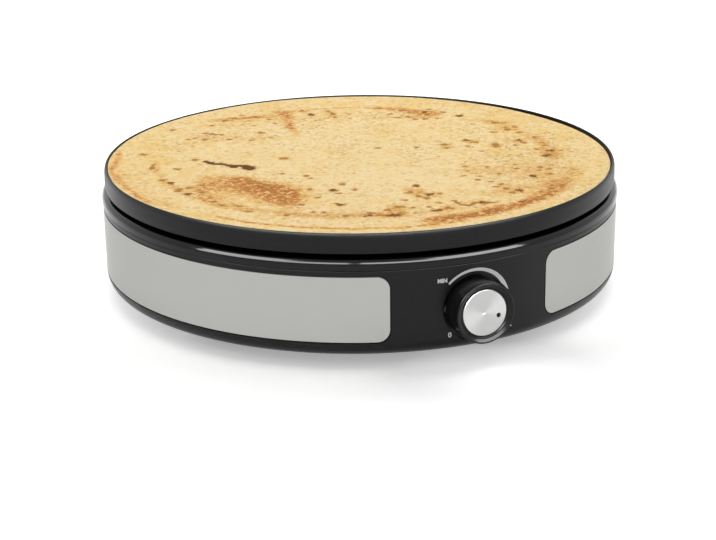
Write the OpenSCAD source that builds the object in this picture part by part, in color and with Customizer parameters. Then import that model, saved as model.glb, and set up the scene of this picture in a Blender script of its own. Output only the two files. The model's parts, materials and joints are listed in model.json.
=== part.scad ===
// Electric crepe maker, tabletop, with a fixed round baking plate.
// Z is up, the feet stand on Z = 0 and the knob points along -Y.
// Sizes are in millimetres.

/* [Baking plate] */
// Radius of the crest of the plate's lip
plate_r = 150.2; // [135:0.1:175]
// How far the plate's side bulges out past the crest
plate_bulge = 1; // [0.8:0.1:2.5]
// Height of the plate from its skirt's edge to its crest
plate_h = 11.5; // [10.5:0.5:15]
// Thickness of the plate under the cooking face
plate_t = 5; // [4:0.5:6]
// Height of the lip above the cooking face
lip_h = 2.4; // [1.8:0.1:3.5]
// Width of the lip, from the crest inwards
lip_w = 0.9; // [0.8:0.1:3]
// Wall thickness of the plate's skirt
skirt_t = 3.2; // [2.5:0.1:4.5]
// Thickness of the crepe on the plate
crepe_t = 1.2; // [0.8:0.1:1.6]
// Gap between the crepe's edge and the lip
crepe_gap = 0.4; // [0.3:0.1:6]

/* [Housing ring] */
// Air gap between the plate's skirt and the ring
plate_gap = 2.4; // [1.5:0.1:4]
// Height of the ring's outer face and rounding
ring_h = 6.4; // [5.5:0.1:8]
// How far the ring stands out past the plate's side
ring_over = 1.9; // [0.5:0.1:4]
// Radius of the ring's outer rounding
ring_round = 3.8; // [2:0.1:4.5]
// Width of the ring's top face, from its outside inwards
ring_w = 13.8; // [13:0.1:16]
// Wall thickness of the ring
ring_t = 2.4; // [1.8:0.1:3]
// Depth of the ring's spigot in the shell
spigot_h = 4; // [3:0.5:6]

/* [Housing shell] */
// How far the shell is set back under the ring
shell_step = 0.5; // [0.3:0.1:1.5]
// How much narrower the shell is at its belt than at its top, on the radius
shell_draft = 0.3; // [0.1:0.1:4]
// Wall thickness of the shell
shell_t = 2.6; // [2.2:0.1:3.5]
// Radius of the rounded bottom edge
base_round = 8.7; // [7:0.1:10]
// Width of the ledge that the base cover seats on
ledge_w = 9; // [8.5:0.5:12]

/* [Stainless panels] */
// Height of the panels
panel_h = 37.7; // [34:0.1:46]
// Height of the panels' lower edge above the rounded bottom edge
panel_rise = 0.1; // [0:0.1:3]
// Height of the shell's rim above the panels
panel_over = 3.2; // [2.8:0.1:8]
// Thickness of the panel sheet
panel_t = 0.8; // [0.5:0.1:1.2]
// Corner radius of the panels
panel_corner = 7; // [4:0.5:9]
// Gap round the panels in their recesses
panel_gap = 0.4; // [0.2:0.1:0.8]
// Width of the control zone between the panels at the front, along the arc
control_w = 95.1; // [80:0.1:120]
// Width of the plain zone between the panels at the rear, along the arc
rear_w = 95.1; // [60:0.1:120]

/* [Knob] */
// Height of the knob's axis above the shell's bottom edge
knob_up = 24.4; // [22.8:0.1:26]
// Radius of the knob
knob_r = 17.1; // [15:0.1:17.3]
// How far the knob's front rim stands out of the housing
knob_out = 12.9; // [10.5:0.1:17]
// How far the silver cap is set back behind the knob's rim
knob_dish = 1.4; // [0.8:0.1:2]
// Radius of the round recess that the knob sits in
dial_r = 18.6; // [18.3:0.1:19.6]
// Depth of the knob's recess
dial_depth = 3; // [2:0.1:3.6]
// Radius of the silver cap
cap_r = 13; // [11:0.1:13.4]
// Thickness of the silver cap
cap_t = 1; // [0.6:0.1:1.4]
// Wall thickness of the knob
knob_t = 2; // [1.5:0.1:2.4]
// Radius of the thermostat's spindle
spindle_r = 3; // [2.5:0.1:3.2]
// Running clearance of the spindle in its bush
spindle_gap = 0.05; // [0.03:0.01:0.09]
// Angle of the pointer dot at rest, from 3 o'clock
pointer_at = -16; // [-30:1:220]

/* [Feet and base cover] */
// Height of the base cover above the surface that the feet stand on
foot_h = 5; // [3:0.1:8]
// Radius of the feet
foot_r = 9; // [7:0.5:11]
// Distance from the feet's edge to the ledge of the base
foot_in = 6.1; // [2:0.1:16]
// Thickness of the base cover
cover_t = 2.5; // [2.2:0.1:3.5]
// Width of the vent slots in the base cover
vent_w = 3; // [2:0.1:3.6]
// Length of the vent slots
vent_l = 15; // [10:1:18]

/* [Heating] */
// Radius of the heating element's ring
elem_r = 95; // [85:1:105]
// Radius of the element's tube
elem_tube = 3.3; // [2.8:0.1:4]
// Distance of the plate's three posts from the middle
post_r = 60; // [56:1:64]
// Radius of the plate's screws
screw_r = 2; // [1.5:0.1:2.2]
// Thickness of the heat shield
shield_t = 0.8; // [0.6:0.1:1.2]
// Length of the temperature sensor
bulb_l = 56; // [40:1:60]

/* [Hidden] */
$fn = 96;
EPS = 0.01;

// heights above the standing surface
shell_z0 = foot_h;
belt_z = shell_z0 + base_round;
panel_z0 = belt_z + panel_rise;
panel_z1 = panel_z0 + panel_h;
shell_z1 = panel_z1 + panel_over;
ring_z1 = shell_z1 + ring_h;
skirt_z = ring_z1 + plate_gap;
crest_z = skirt_z + plate_h;
cook_z = crest_z - lip_h;
under_z = cook_z - plate_t;
knob_z = shell_z0 + knob_up;
cover_z1 = shell_z0 + cover_t;
ledge_z1 = cover_z1 + shell_t;

// the rounded edges of the plate
skirt_edge = 0.7;
crest_h = 3.2;
crest_in = 0.5;

// radii
side_r = plate_r + plate_bulge;
cook_r = plate_r - lip_w;
ring_r = side_r + ring_over;
ring_in = ring_r - ring_w;
shell_r1 = ring_r - shell_step;
shell_r0 = shell_r1 - shell_draft;
round_c = shell_r0 - base_round;
cover_gap = 0.4;
cover_edge = 1.2;
cover_r = round_c - cover_edge;
ledge_r = cover_r + cover_gap - ledge_w;
foot_place = ledge_r - foot_r - foot_in;

// the shell's outer radius at a height above its belt
function shell_at(z) = shell_r0 + (z - belt_z) * shell_draft / (shell_z1 - belt_z);
// half of an arc width, as an angle on the shell
function arc_deg(width) = width / shell_at(knob_z) * 180 / PI;
// points of an elliptical arc
function arc(cx, cy, rx, ry, a0, a1, n = 8) =
    [for (i = [0:n]) let (a = a0 + (a1 - a0) * i / n) [cx + rx * cos(a), cy + ry * sin(a)]];

// the knob and what it turns, measured along its axis from the middle
face_y = shell_at(knob_z);
dial_floor = face_y - dial_depth;
pad_t = 2.4;
pad_in = dial_floor - pad_t;
knob_gap = 0.8;
knob_back = dial_floor + knob_gap;
knob_front = face_y + knob_out;
cap_face = knob_front - knob_dish;
cap_seat = cap_face - cap_t;
hub_t = 2.5;
hub_r = spindle_r + hub_t;
hub_back = knob_back + 2;
knob_top_t = 2.4;
clip_t = 0.4;
flat_x = spindle_r * 0.5;
fit_gap = 0.05;
spindle_tail = 10;
spindle_in = pad_in - spindle_tail;
spindle_out = cap_seat - knob_top_t + 1;

// the housing is set back so that the origin is the middle of the overall box
axis_y = (knob_front - ring_r) / 2;

// plate posts, feet, screws and bosses: angles seen from above
post_at = [30, 150, 270];
foot_at = [45, 135, 225, 315];
base_screw_at = [20, 160, 200, 340];
ring_screw_at = [60, 120, 240, 300];
seat = 0.1;

// heating and its supports
rib_cheek = 2.2;
rib_w = (elem_tube + rib_cheek) * 2;
elem_cover = 4.3;
elem_z = under_z - elem_tube - elem_cover;
elem_gap_deg = 30;
bend_r = 8;
bend_lap = 1;
pin_y = bend_r - bend_lap;
cold_l = 9;
shield_drop = 13;
shield_z = elem_z - shield_drop;
shield_rim = 8;
shield_flare = 3;
shield_lip = 3;
shield_gap = 5;
shield_r = ring_in - shield_gap - shield_lip - shield_flare;
boss_wall = 4.3;
boss_r = screw_r + boss_wall;
boss_h = 9.5;
spacer_z1 = under_z - boss_h;
spacer_r = boss_r - 0.8;
spacer_h = spacer_z1 - shield_z - shield_t;
post_wall = 5;
post_out = screw_r + post_wall;
post_top = shield_z;
head_r = screw_r * 1.9;
head_h = screw_r * 1.5;
head_drop = 12;
head_seat = post_top - head_drop;
screw_gap = 0.25;
bite = 7.5;
small_r = screw_r * 0.75;
small_bite = 8;

// sensor and fuse under the plate
bulb_r = 3;
bulb_y = -44;
bulb_z = under_z - bulb_r - 0.3;
fuse_r = 2.2;
fuse_l = 14;
fuse_pos = [30, -10];
fuse_z = under_z - fuse_r - 0.3;
strap_t = 0.8;
tube_r = 0.9;

// thermostat
stat_w = 32;
stat_h = 27;
stat_d = 17;
stat_plate = 1.2;
neck_r = spindle_r + 2;
stat_screw_x = 14;
stat_screw_r = 1.6;
stat_back = pad_in - stat_plate - stat_d;
tab = [6.3, 0.8, 8];
tab_x = 8;

// terminal block and leads
block = [36, 16, 14];
block_y = 70;
pole_x = 12;
lead_rise = 6;
lead_out = 7;
lead_under = 8;
lead_dip = 9;
lead_floor = 8;
lead_side = 8;
lead_past = 20;
lead_front = -80;
pole_r = 3.2;
pole_h = 1.5;
lead_r = 1.3;
earth_boss_h = 3;

// cord gland, whose seat stays above the shell's belt
gland_bore = 3.75;
gland_neck = 6;
gland_flange = 8;
gland_rise = 1.2;
gland_z = belt_z + gland_flange + gland_rise;
gland_flange_t = 1.6;
gland_spot = 1.2;
gland_out = shell_at(gland_z) - gland_spot;
gland_pad = 2.6;

// ---- placing -------------------------------------------------------------

// Puts pieces on the plate's upright axis.
module on_axis() {
    translate([0, axis_y, 0]) children();
}

// Puts pieces on the knob's axis: local Z points out of the front, local Y up.
module on_knob() {
    translate([0, axis_y, knob_z]) rotate([90, 0, 0]) children();
}

// Puts pieces on the gland's axis: local Z points out of the rear, local Y up.
module on_gland() {
    translate([0, axis_y, gland_z]) rotate([90, 0, 180]) children();
}

// Repeats a piece at a radius and a list of angles.
module around(angles, r) {
    for (a = angles) rotate(a) translate([r, 0, 0]) children();
}

// ---- the plate -----------------------------------------------------------

// The side, the crest and the inner face of the lip, from the skirt's edge up.
function lip_outline() = concat(
    arc(side_r - skirt_edge - 0.2, skirt_z + skirt_edge, skirt_edge, skirt_edge, -90, 0, 4),
    [[side_r, skirt_z + plate_h * 0.3]],
    arc(plate_r - 0.1, crest_z - crest_h, plate_bulge + 0.1, crest_h, 0, 90),
    arc(plate_r - 0.3, crest_z - crest_in, lip_w * 0.4, crest_in, 90, 180, 5),
    [[cook_r + 0.1, cook_z + 0.45], [cook_r - 0.35, cook_z]]);

module plate_blank() {
    inner = side_r - skirt_t;
    rib_z = elem_z;
    rotate_extrude($fn = 180) polygon(concat(
        lip_outline(),
        [[0, cook_z], [0, under_z - 2.5], [18, under_z - 2.5], [20, under_z],
         [elem_r - rib_w / 2 - 1, under_z], [elem_r - rib_w / 2, rib_z],
         [elem_r + rib_w / 2, rib_z], [elem_r + rib_w / 2 + 1, under_z],
         [inner - 4, under_z], [inner - 1.2, under_z - 1.2], [inner, under_z - 4],
         [inner + 0.3, skirt_z]]));
}

module baking_plate() {
    color([0.20, 0.20, 0.21]) on_axis() difference() {
        union() {
            plate_blank();
            around(post_at, post_r) translate([0, 0, spacer_z1])
                cylinder(r = boss_r, h = boss_h + 1);
            // stiffening ribs between the element's rib and the skirt
            for (a = [15:30:345]) rotate(a)
                translate([elem_r + rib_w / 2, -1.5, under_z - 3])
                    cube([side_r - skirt_t - elem_r - rib_w / 2 - 2, 3, 4]);
            translate([0, block_y, under_z - earth_boss_h])
                cylinder(r = 5, h = earth_boss_h + 1);
        }
        translate([0, 0, elem_z]) rotate_extrude($fn = 180)
            translate([elem_r, 0]) circle(r = elem_tube + fit_gap, $fn = 48);
        around(post_at, post_r) translate([0, 0, spacer_z1 - 1])
            cylinder(r = screw_r + fit_gap, h = bite + 2, $fn = 32);
        translate([0, block_y, under_z - earth_boss_h - 1])
            cylinder(r = screw_r + fit_gap, h = earth_boss_h + 3, $fn = 32);
    }
}

module crepe() {
    lift = 0.2;
    color([0.93, 0.79, 0.51]) on_axis() translate([0, 0, cook_z + lift])
        rotate_extrude($fn = 180) polygon([
            [0, 0], [cook_r - crepe_gap - 0.4, 0], [cook_r - crepe_gap, 0.4],
            [cook_r - crepe_gap - 0.5, crepe_t], [0, crepe_t]]);
}

// ---- heating -------------------------------------------------------------

// One end of the element: a slightly drawn bend down out of the groove, which
// starts inside the ring's tube, and a straight cold end.
module element_end() {
    translate([0, -bend_lap, -bend_r]) rotate([0, -90, 0])
        rotate_extrude(angle = 90) translate([bend_r, 0]) circle(r = elem_tube - 0.3, $fn = 48);
    translate([0, pin_y, -bend_r - cold_l])
        cylinder(r = elem_tube, h = cold_l + bend_lap, $fn = 48);
}

elem_from = 90 + elem_gap_deg / 2;
elem_to = 450 - elem_gap_deg / 2;

module at_element_ends() {
    rotate(elem_to) translate([elem_r, 0, elem_z]) children();
    rotate(elem_from) translate([elem_r, 0, elem_z]) rotate(180) children();
}

module heating_element() {
    color([0.55, 0.52, 0.48]) on_axis() {
        translate([0, 0, elem_z]) rotate(elem_from)
            rotate_extrude(angle = elem_to - elem_from, $fn = 180)
                translate([elem_r, 0]) circle(r = elem_tube, $fn = 48);
        at_element_ends() element_end();
    }
}

bead_r = elem_tube + 0.9;
bead_h = 4;

module element_terminals() {
    color([0.92, 0.90, 0.84]) on_axis() at_element_ends()
        translate([0, pin_y, -bend_r - cold_l - bead_h]) {
            cylinder(r = bead_r, h = bead_h, $fn = 48);
            translate([-tab[0] / 2, -tab[1] / 2, -tab[2]])
                cube([tab[0], tab[1], tab[2] + 1]);
        }
}

shield_holes = [[0, block_y], [-bulb_l / 2 - 6, bulb_y], [fuse_pos[0], fuse_pos[1] - fuse_l - 7],
    [fuse_pos[0], fuse_pos[1] + fuse_l + 7]];

module heat_shield() {
    rim_r = shield_r + shield_flare;
    color([0.72, 0.73, 0.74]) on_axis() difference() {
        translate([0, 0, shield_z]) rotate_extrude($fn = 180) polygon([
            [0, 0], [shield_r, 0], [rim_r, shield_rim], [rim_r + shield_lip, shield_rim],
            [rim_r + shield_lip, shield_rim + shield_t],
            [rim_r - shield_t * 0.6, shield_rim + shield_t],
            [shield_r - shield_t * 0.6, shield_t], [0, shield_t]]);
        around(post_at, post_r) translate([0, 0, shield_z - 1])
            cylinder(r = screw_r + screw_gap, h = 3, $fn = 32);
        at_element_ends() translate([0, pin_y, -shield_drop - 4])
            cylinder(r = elem_tube + 2, h = shield_drop);
        for (p = shield_holes) translate([p[0], p[1], shield_z - 1])
            cylinder(r = 3.2, h = 4, $fn = 48);
    }
}

module plate_spacers() {
    color([0.85, 0.83, 0.78]) on_axis() around(post_at, post_r)
        translate([0, 0, shield_z + shield_t]) difference() {
            cylinder(r = spacer_r, h = spacer_h, $fn = 48);
            translate([0, 0, -1]) cylinder(r = screw_r + screw_gap, h = spacer_h + 2, $fn = 32);
        }
}

module plate_screws() {
    color([0.75, 0.75, 0.77]) on_axis() around(post_at, post_r) {
        translate([0, 0, head_seat - head_h]) cylinder(r = head_r, h = head_h, $fn = 48);
        translate([0, 0, head_seat - 1])
            cylinder(r = screw_r, h = spacer_z1 + bite - head_seat, $fn = 32);
    }
}

// ---- housing -------------------------------------------------------------

module ring_blank() {
    spigot_r = shell_r1 - shell_t - 0.5;
    rotate_extrude($fn = 180) polygon(concat(
        [[ring_in, ring_z1], [ring_in, ring_z1 - ring_t],
         [spigot_r - ring_t, ring_z1 - ring_t],
         [spigot_r - ring_t, shell_z1 - spigot_h], [spigot_r, shell_z1 - spigot_h],
         [spigot_r, shell_z1], [ring_r - 0.3, shell_z1], [ring_r, shell_z1 + 0.3]],
        arc(ring_r - ring_round, ring_z1 - ring_round, ring_round, ring_round, 0, 90)));
}

ring_boss_r = 3.6;
ring_boss_edge = 0.4;
ring_boss_at = ring_in + ring_boss_r + ring_boss_edge;
lug_drop = 12;
lug_z = shell_z1 - lug_drop;
lug_t = 2.5;
lug_w = 11;

module housing_ring() {
    color([0.05, 0.05, 0.055]) on_axis() difference() {
        union() {
            ring_blank();
            around(ring_screw_at, ring_boss_at) translate([0, 0, lug_z + seat])
                cylinder(r = ring_boss_r, h = ring_z1 - lug_z - 1, $fn = 48);
        }
        around(ring_screw_at, ring_boss_at) translate([0, 0, lug_z - 1])
            cylinder(r = small_r + fit_gap, h = small_bite + 2, $fn = 32);
    }
}

module ring_screws() {
    color([0.75, 0.75, 0.77]) on_axis() around(ring_screw_at, ring_boss_at) {
        translate([0, 0, lug_z - lug_t - head_h]) cylinder(r = head_r, h = head_h, $fn = 48);
        translate([0, 0, lug_z - lug_t - 1])
            cylinder(r = small_r, h = lug_t + 1 + small_bite, $fn = 32);
    }
}

// The shell's outer outline from its bottom edge to its top, set in by a depth.
function shell_outside(inset) = concat(
    arc(round_c, belt_z, base_round - inset, base_round - inset, -90, 0, 10),
    [[shell_r1 - inset, shell_z1 - 0.5]]);

module shell_wall() {
    inner = base_round - shell_t;
    rotate_extrude($fn = 180) polygon(concat(
        [[cover_r + cover_gap, shell_z0]],
        shell_outside(0),
        [[shell_r1 - 0.4, shell_z1], [shell_r1 - shell_t, shell_z1],
         [shell_r0 - shell_t, belt_z + 1]],
        arc(round_c, belt_z, inner, inner, -10, -asin((belt_z - ledge_z1) / inner), 3),
        [[ledge_r, ledge_z1], [ledge_r, cover_z1], [cover_r + cover_gap, cover_z1]]));
}

// A solid of the shell's outer form, set in by a depth.
module shell_form(inset) {
    rotate_extrude($fn = 180) polygon(concat(
        [[0, shell_z0 + inset]], shell_outside(inset), [[0, shell_z1 - 0.5]]));
}

// The corner that is cut off a panel: all outside of an arc, in n flats.
function corner_outline(r, n = 8) = concat(
    [[r + 0.05, -0.4]],
    [for (i = [1:n - 1]) [r * cos(90 * i / n), r * sin(90 * i / n)]],
    [[-0.4, r + 0.05], [-0.4, r + 2], [r + 2, r + 2], [r + 2, -0.4]]);

// A curved band with round corners that follows the shell on its right side,
// from inner to outer past the shell's face, grown all round.
module panel_band(inner, outer, grow) {
    z0 = panel_z0 - grow;
    z1 = panel_z1 + grow;
    r = panel_corner + grow;
    a0 = -90 + arc_deg(control_w / 2 - grow);
    a1 = 90 - arc_deg(rear_w / 2 - grow);
    back = arc_deg(r);
    difference() {
        rotate(a0) rotate_extrude(angle = a1 - a0, $fn = 180) polygon([
            [shell_at(z0) - inner, z0], [shell_at(z0) + outer, z0],
            [shell_at(z1) + outer, z1], [shell_at(z1) - inner, z1]]);
        for (end = [[a1 - back, 1], [a0 + back, -1]], up = [[z1 - r, 1], [z0 + r, -1]])
            rotate(end[0]) translate([shell_at(up[0]) - 5, 0, up[0]]) rotate([90, 0, 90])
                scale_flip(end[1], up[1]) linear_extrude(10) polygon(corner_outline(r));
    }
}

// Mirrors a piece across local X or Y where the sign is -1.
module scale_flip(sx, sy) {
    mirror([sx < 0 ? 1 : 0, 0, 0]) mirror([0, sy < 0 ? 1 : 0, 0]) children();
}

tab_at = [-50, 0, 50];
tab_up = [0.25, 0.75];
tab_w = 8;
tab_l = 4;

// The panel's bent tabs, or with a clearance the slots that they pass through.
module panel_tabs(clear) {
    for (a = tab_at, u = tab_up) let (z = panel_z0 + panel_h * u)
        rotate(a) translate([shell_at(z) - tab_l - clear, -tab_w / 2 - clear,
            z - panel_t / 2 - clear])
            cube([tab_l - panel_t / 2 + clear, tab_w + 2 * clear, panel_t + 2 * clear]);
}

module panel_sheet() {
    color([0.72, 0.73, 0.72]) on_axis() union() {
        panel_band(panel_t, 0, 0);
        panel_tabs(0);
    }
}

module right_panel() {
    panel_sheet();
}

module left_panel() {
    mirror([1, 0, 0]) panel_sheet();
}

dial_step = 0.35;
dial_step_w = 0.7;

module dial_recess() {
    reach = dial_depth + 10;
    on_front() translate([0, 0, dial_floor]) cylinder(r = dial_r, h = reach);
    // a shallow step softens the edge of the recess
    difference() {
        on_front() translate([0, 0, dial_floor]) cylinder(r = dial_r + dial_step_w, h = reach);
        shell_form(dial_step);
    }
}

// As on_knob, but inside of on_axis.
module on_front() {
    translate([0, 0, knob_z]) rotate([90, 0, 0]) children();
}

module on_rear() {
    translate([0, 0, gland_z]) rotate([90, 0, 180]) children();
}

module stat_screw_holes(r) {
    for (x = [-stat_screw_x, stat_screw_x]) on_front() translate([x, 0, 0]) {
        translate([0, 0, pad_in - 1]) cylinder(r = r, h = pad_t + 2, $fn = 32);
    }
}

base_boss_r = 4.3;
base_boss_h = 15;
base_boss_edge = 0.2;
base_screw_place = ledge_r + base_boss_r + base_boss_edge;
csk = 1.6;
pad_edge = 2;
gland_edge = 2.5;

module housing_shell() {
    color([0.075, 0.075, 0.08]) on_axis() difference() {
        union() {
            shell_wall();
            // flat pads behind the knob's recess and the gland
            intersection() {
                on_front() translate([0, 0, pad_in]) cylinder(r = dial_r + pad_edge, h = 12);
                shell_form(1);
            }
            intersection() {
                on_rear() translate([0, 0, gland_out - gland_pad])
                    cylinder(r = gland_flange + gland_edge, h = 12);
                shell_form(1);
            }
            around(base_screw_at, base_screw_place) translate([0, 0, ledge_z1 - 1])
                cylinder(r = base_boss_r, h = base_boss_h, $fn = 48);
            // lugs that the ring is screwed to
            intersection() {
                around(ring_screw_at, ring_boss_at)
                    translate([-lug_w / 2 + 0.5, -lug_w / 2, lug_z - lug_t])
                        cube([ring_w * 2, lug_w, lug_t]);
                shell_form(1);
            }
        }
        panel_band(panel_t + seat, 2, panel_gap);
        mirror([1, 0, 0]) panel_band(panel_t + seat, 2, panel_gap);
        panel_tabs(0.25);
        mirror([1, 0, 0]) panel_tabs(0.25);
        dial_recess();
        on_front() translate([0, 0, pad_in - 1]) cylinder(r = neck_r + 0.2, h = 10);
        stat_screw_holes(stat_screw_r + 0.15);
        for (x = [-stat_screw_x, stat_screw_x]) on_front()
            translate([x, 0, dial_floor - csk]) cylinder(r1 = stat_screw_r + 0.15,
                r2 = stat_screw_r + csk + 0.15, h = csk + EPS, $fn = 32);
        on_rear() translate([0, 0, gland_out]) cylinder(r = gland_flange + 0.3, h = 10);
        on_rear() translate([0, 0, gland_out - 10]) cylinder(r = gland_neck + 0.1, h = 20);
        around(base_screw_at, base_screw_place) translate([0, 0, cover_z1 - 1])
            cylinder(r = small_r + fit_gap, h = base_boss_h - 1, $fn = 32);
        around(ring_screw_at, ring_boss_at) translate([0, 0, lug_z - lug_t - 1])
            cylinder(r = small_r + screw_gap, h = lug_t + 2, $fn = 32);
    }
}

// ---- base ----------------------------------------------------------------

peg_r = 3;
foot_sink = 1;
vent_edge = 12;
vent_gap = 6;
vent_rows = 2;
gusset_l = 5;
gusset_h = 16;

// A slot with round ends that runs outwards from the middle of its inner end.
module vent_slot() {
    linear_extrude(cover_t + 2) {
        translate([0, -vent_w / 2]) square([vent_l - vent_w, vent_w]);
        for (x = [0, vent_l - vent_w]) translate([x, 0]) circle(r = vent_w / 2, $fn = 32);
    }
}

// Vents in rows between the feet, from the ledge inwards.
module vents() {
    for (side = [0:90:270], a = [-25:5:25], row = [1:vent_rows])
        let (inner = ledge_r - vent_edge - row * vent_l - (row - 1) * vent_gap)
            rotate(side + a) translate([inner + vent_w / 2, 0, shell_z0 - 1]) vent_slot();
}

module base_cover() {
    color([0.085, 0.085, 0.09]) on_axis() difference() {
        union() {
            translate([0, 0, shell_z0]) cylinder(r = cover_r, h = cover_t, $fn = 180);
            around(post_at, post_r) translate([0, 0, cover_z1 - 1])
                cylinder(r = post_out, h = post_top - cover_z1 + 1, $fn = 48);
            // gussets round each post
            for (p = post_at, g = [0:90:270]) rotate(p) translate([post_r, 0, 0]) rotate(g)
                translate([post_out - 0.5, -1, cover_z1 - 1]) cube([gusset_l, 2, gusset_h]);
        }
        around(post_at, post_r) {
            translate([0, 0, shell_z0 - 1])
                cylinder(r = head_r + 0.5, h = head_seat - shell_z0 + 1, $fn = 48);
            translate([0, 0, head_seat - 1])
                cylinder(r = screw_r + screw_gap, h = head_drop + 2, $fn = 32);
        }
        vents();
        around(foot_at, foot_place) {
            translate([0, 0, shell_z0 - 1])
                cylinder(r = foot_r + 0.15, h = foot_sink + 1, $fn = 64);
            translate([0, 0, shell_z0 - 1]) cylinder(r = peg_r + 0.1, h = cover_t + 2, $fn = 48);
        }
        around(base_screw_at, base_screw_place) {
            translate([0, 0, shell_z0 - 1])
                cylinder(r = small_r + screw_gap, h = cover_t + 2, $fn = 32);
            translate([0, 0, shell_z0 - EPS])
                cylinder(r1 = small_r + csk + 0.1, r2 = small_r + 0.1, h = csk + EPS, $fn = 32);
        }
    }
}

module base_screws() {
    color([0.75, 0.75, 0.77]) on_axis() around(base_screw_at, base_screw_place) {
        translate([0, 0, shell_z0]) cylinder(r1 = small_r + csk, r2 = small_r, h = csk, $fn = 32);
        translate([0, 0, shell_z0 + csk - 0.5])
            cylinder(r = small_r, h = base_boss_h - 3, $fn = 32);
    }
}

module foot(a) {
    top = shell_z0 + foot_sink;
    color([0.10, 0.10, 0.10]) on_axis() rotate(a) translate([foot_place, 0, 0])
        rotate_extrude($fn = 64) polygon([
            [0, 0], [foot_r - 2, 0], [foot_r - 0.8, 0.5], [foot_r - 0.3, 1.6], [foot_r, top],
            [peg_r, top], [peg_r, cover_z1], [peg_r + 1, cover_z1], [peg_r + 0.9, cover_z1 + 1],
            [peg_r - 0.6, cover_z1 + 2.6], [0, cover_z1 + 2.6]]);
}

module foot_rear_right() {
    foot(foot_at[0]);
}

module foot_rear_left() {
    foot(foot_at[1]);
}

module foot_front_left() {
    foot(foot_at[2]);
}

module foot_front_right() {
    foot(foot_at[3]);
}

module cord_gland() {
    color([0.06, 0.06, 0.065]) on_gland() difference() {
        rotate_extrude($fn = 64) polygon([
            [gland_bore, gland_out - gland_pad - 5], [gland_neck - 0.6, gland_out - gland_pad - 5],
            [gland_neck + 1.2, gland_out - gland_pad - 0.1],
            [gland_neck, gland_out - gland_pad - 0.1], [gland_neck, gland_out],
            [gland_flange, gland_out], [gland_flange, gland_out + gland_flange_t * 0.6],
            [gland_flange - 1, gland_out + gland_flange_t],
            [gland_bore, gland_out + gland_flange_t]]);
    }
}

// ---- thermostat and knob -------------------------------------------------

module thermostat_body() {
    color([0.80, 0.78, 0.72]) on_knob() difference() {
        union() {
            // mounting plate, body, back cap, neck and three tabs
            translate([-stat_screw_x - 4, -6, pad_in - stat_plate])
                cube([2 * stat_screw_x + 8, 12, stat_plate]);
            translate([-stat_w / 2, -stat_h / 2 + 1, stat_back])
                cube([stat_w, stat_h, stat_d + 0.2]);
            translate([-stat_w / 2 + 2, -stat_h / 2 + 3, stat_back - 2])
                cube([stat_w - 4, stat_h - 4, 3]);
            cylinder_between(pad_in - stat_plate - 1, dial_floor + 1, neck_r);
            for (x = [-tab_x, tab_x])
                translate([x - tab[1] / 2, -tab[0] / 2, stat_back - 2 - tab[2]])
                    cube([tab[1], tab[0], tab[2] + 1]);
        }
        cylinder_between(spindle_in - 1, dial_floor + 2, spindle_r + spindle_gap);
        for (x = [-stat_screw_x, stat_screw_x])
            translate([x, 0, pad_in - stat_plate - 4])
                cylinder(r = stat_screw_r + 0.1, h = 6, $fn = 32);
    }
}

// A cylinder on local Z between two heights.
module cylinder_between(z0, z1, r) {
    translate([0, 0, z0]) cylinder(r = r, h = z1 - z0, $fn = 64);
}

module thermostat_screws() {
    color([0.75, 0.75, 0.77]) on_knob() for (x = [-stat_screw_x, stat_screw_x])
        translate([x, 0, 0]) {
            translate([0, 0, dial_floor - csk]) cylinder(r1 = stat_screw_r,
                r2 = stat_screw_r + csk, h = csk, $fn = 32);
            cylinder_between(pad_in - stat_plate - 3.5, dial_floor - csk + 0.5, stat_screw_r);
        }
}

module thermostat_spindle() {
    color([0.78, 0.78, 0.80]) on_knob() difference() {
        cylinder_between(spindle_in, spindle_out, spindle_r);
        rotate(pointer_at) translate([flat_x, -10, hub_back + 2]) cube([10, 20, 40]);
    }
}

module knob_clip() {
    color([0.70, 0.70, 0.72]) on_knob() rotate(pointer_at)
        translate([flat_x + fit_gap, -1.6, hub_back + 2.3])
            cube([clip_t, 3.2, spindle_out - hub_back - 2.8]);
}

module knob_body() {
    wall_in = knob_r - knob_t;
    nest_r = cap_r + 0.1;
    rim_w = knob_r - nest_r;
    rim_edge = rim_w * 0.15;
    color([0.05, 0.05, 0.055]) on_knob() rotate(pointer_at) difference() {
        union() {
            // the rim is dished towards the cap, with a groove round the cap
            rotate_extrude($fn = 128) polygon(concat(
                [[knob_r - 0.4, knob_back + 0.2], [knob_r - 0.2, knob_back + 0.6]],
                arc(knob_r - rim_edge, knob_front - rim_edge, rim_edge, rim_edge, 0, 90, 5),
                [[nest_r + rim_w * 0.75, knob_front - knob_dish * 0.12],
                 [nest_r + rim_w * 0.4, cap_face + knob_dish * 0.2],
                 [nest_r + rim_w * 0.3, cap_face + knob_dish * 0.1],
                 [nest_r + rim_w * 0.22, cap_face - cap_t * 0.2],
                 [nest_r + rim_w * 0.15, cap_face - cap_t * 0.5],
                 [nest_r, cap_face - cap_t * 0.5], [nest_r, cap_seat], [0, cap_seat],
                 [0, spindle_out + fit_gap], [spindle_r + fit_gap, spindle_out + fit_gap],
                 [spindle_r + fit_gap, hub_back], [hub_r, hub_back],
                 [hub_r, cap_seat - knob_top_t], [wall_in, cap_seat - knob_top_t],
                 [wall_in, knob_back]]));
            for (a = [30:60:330]) rotate(a)
                translate([hub_r - 0.3, -0.6, hub_back + 1])
                    cube([wall_in - hub_r + 0.6, 1.2, cap_seat - knob_top_t - hub_back]);
            // the flat side of the bore, behind the clip
            intersection() {
                cylinder_between(hub_back + 2.2, cap_seat - 1, spindle_r + 0.4);
                translate([flat_x + clip_t + 2 * fit_gap, -10, 0]) cube([10, 20, 400]);
            }
        }
    }
}

dot_r = 0.9;
dot_at = 8.6;

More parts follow.
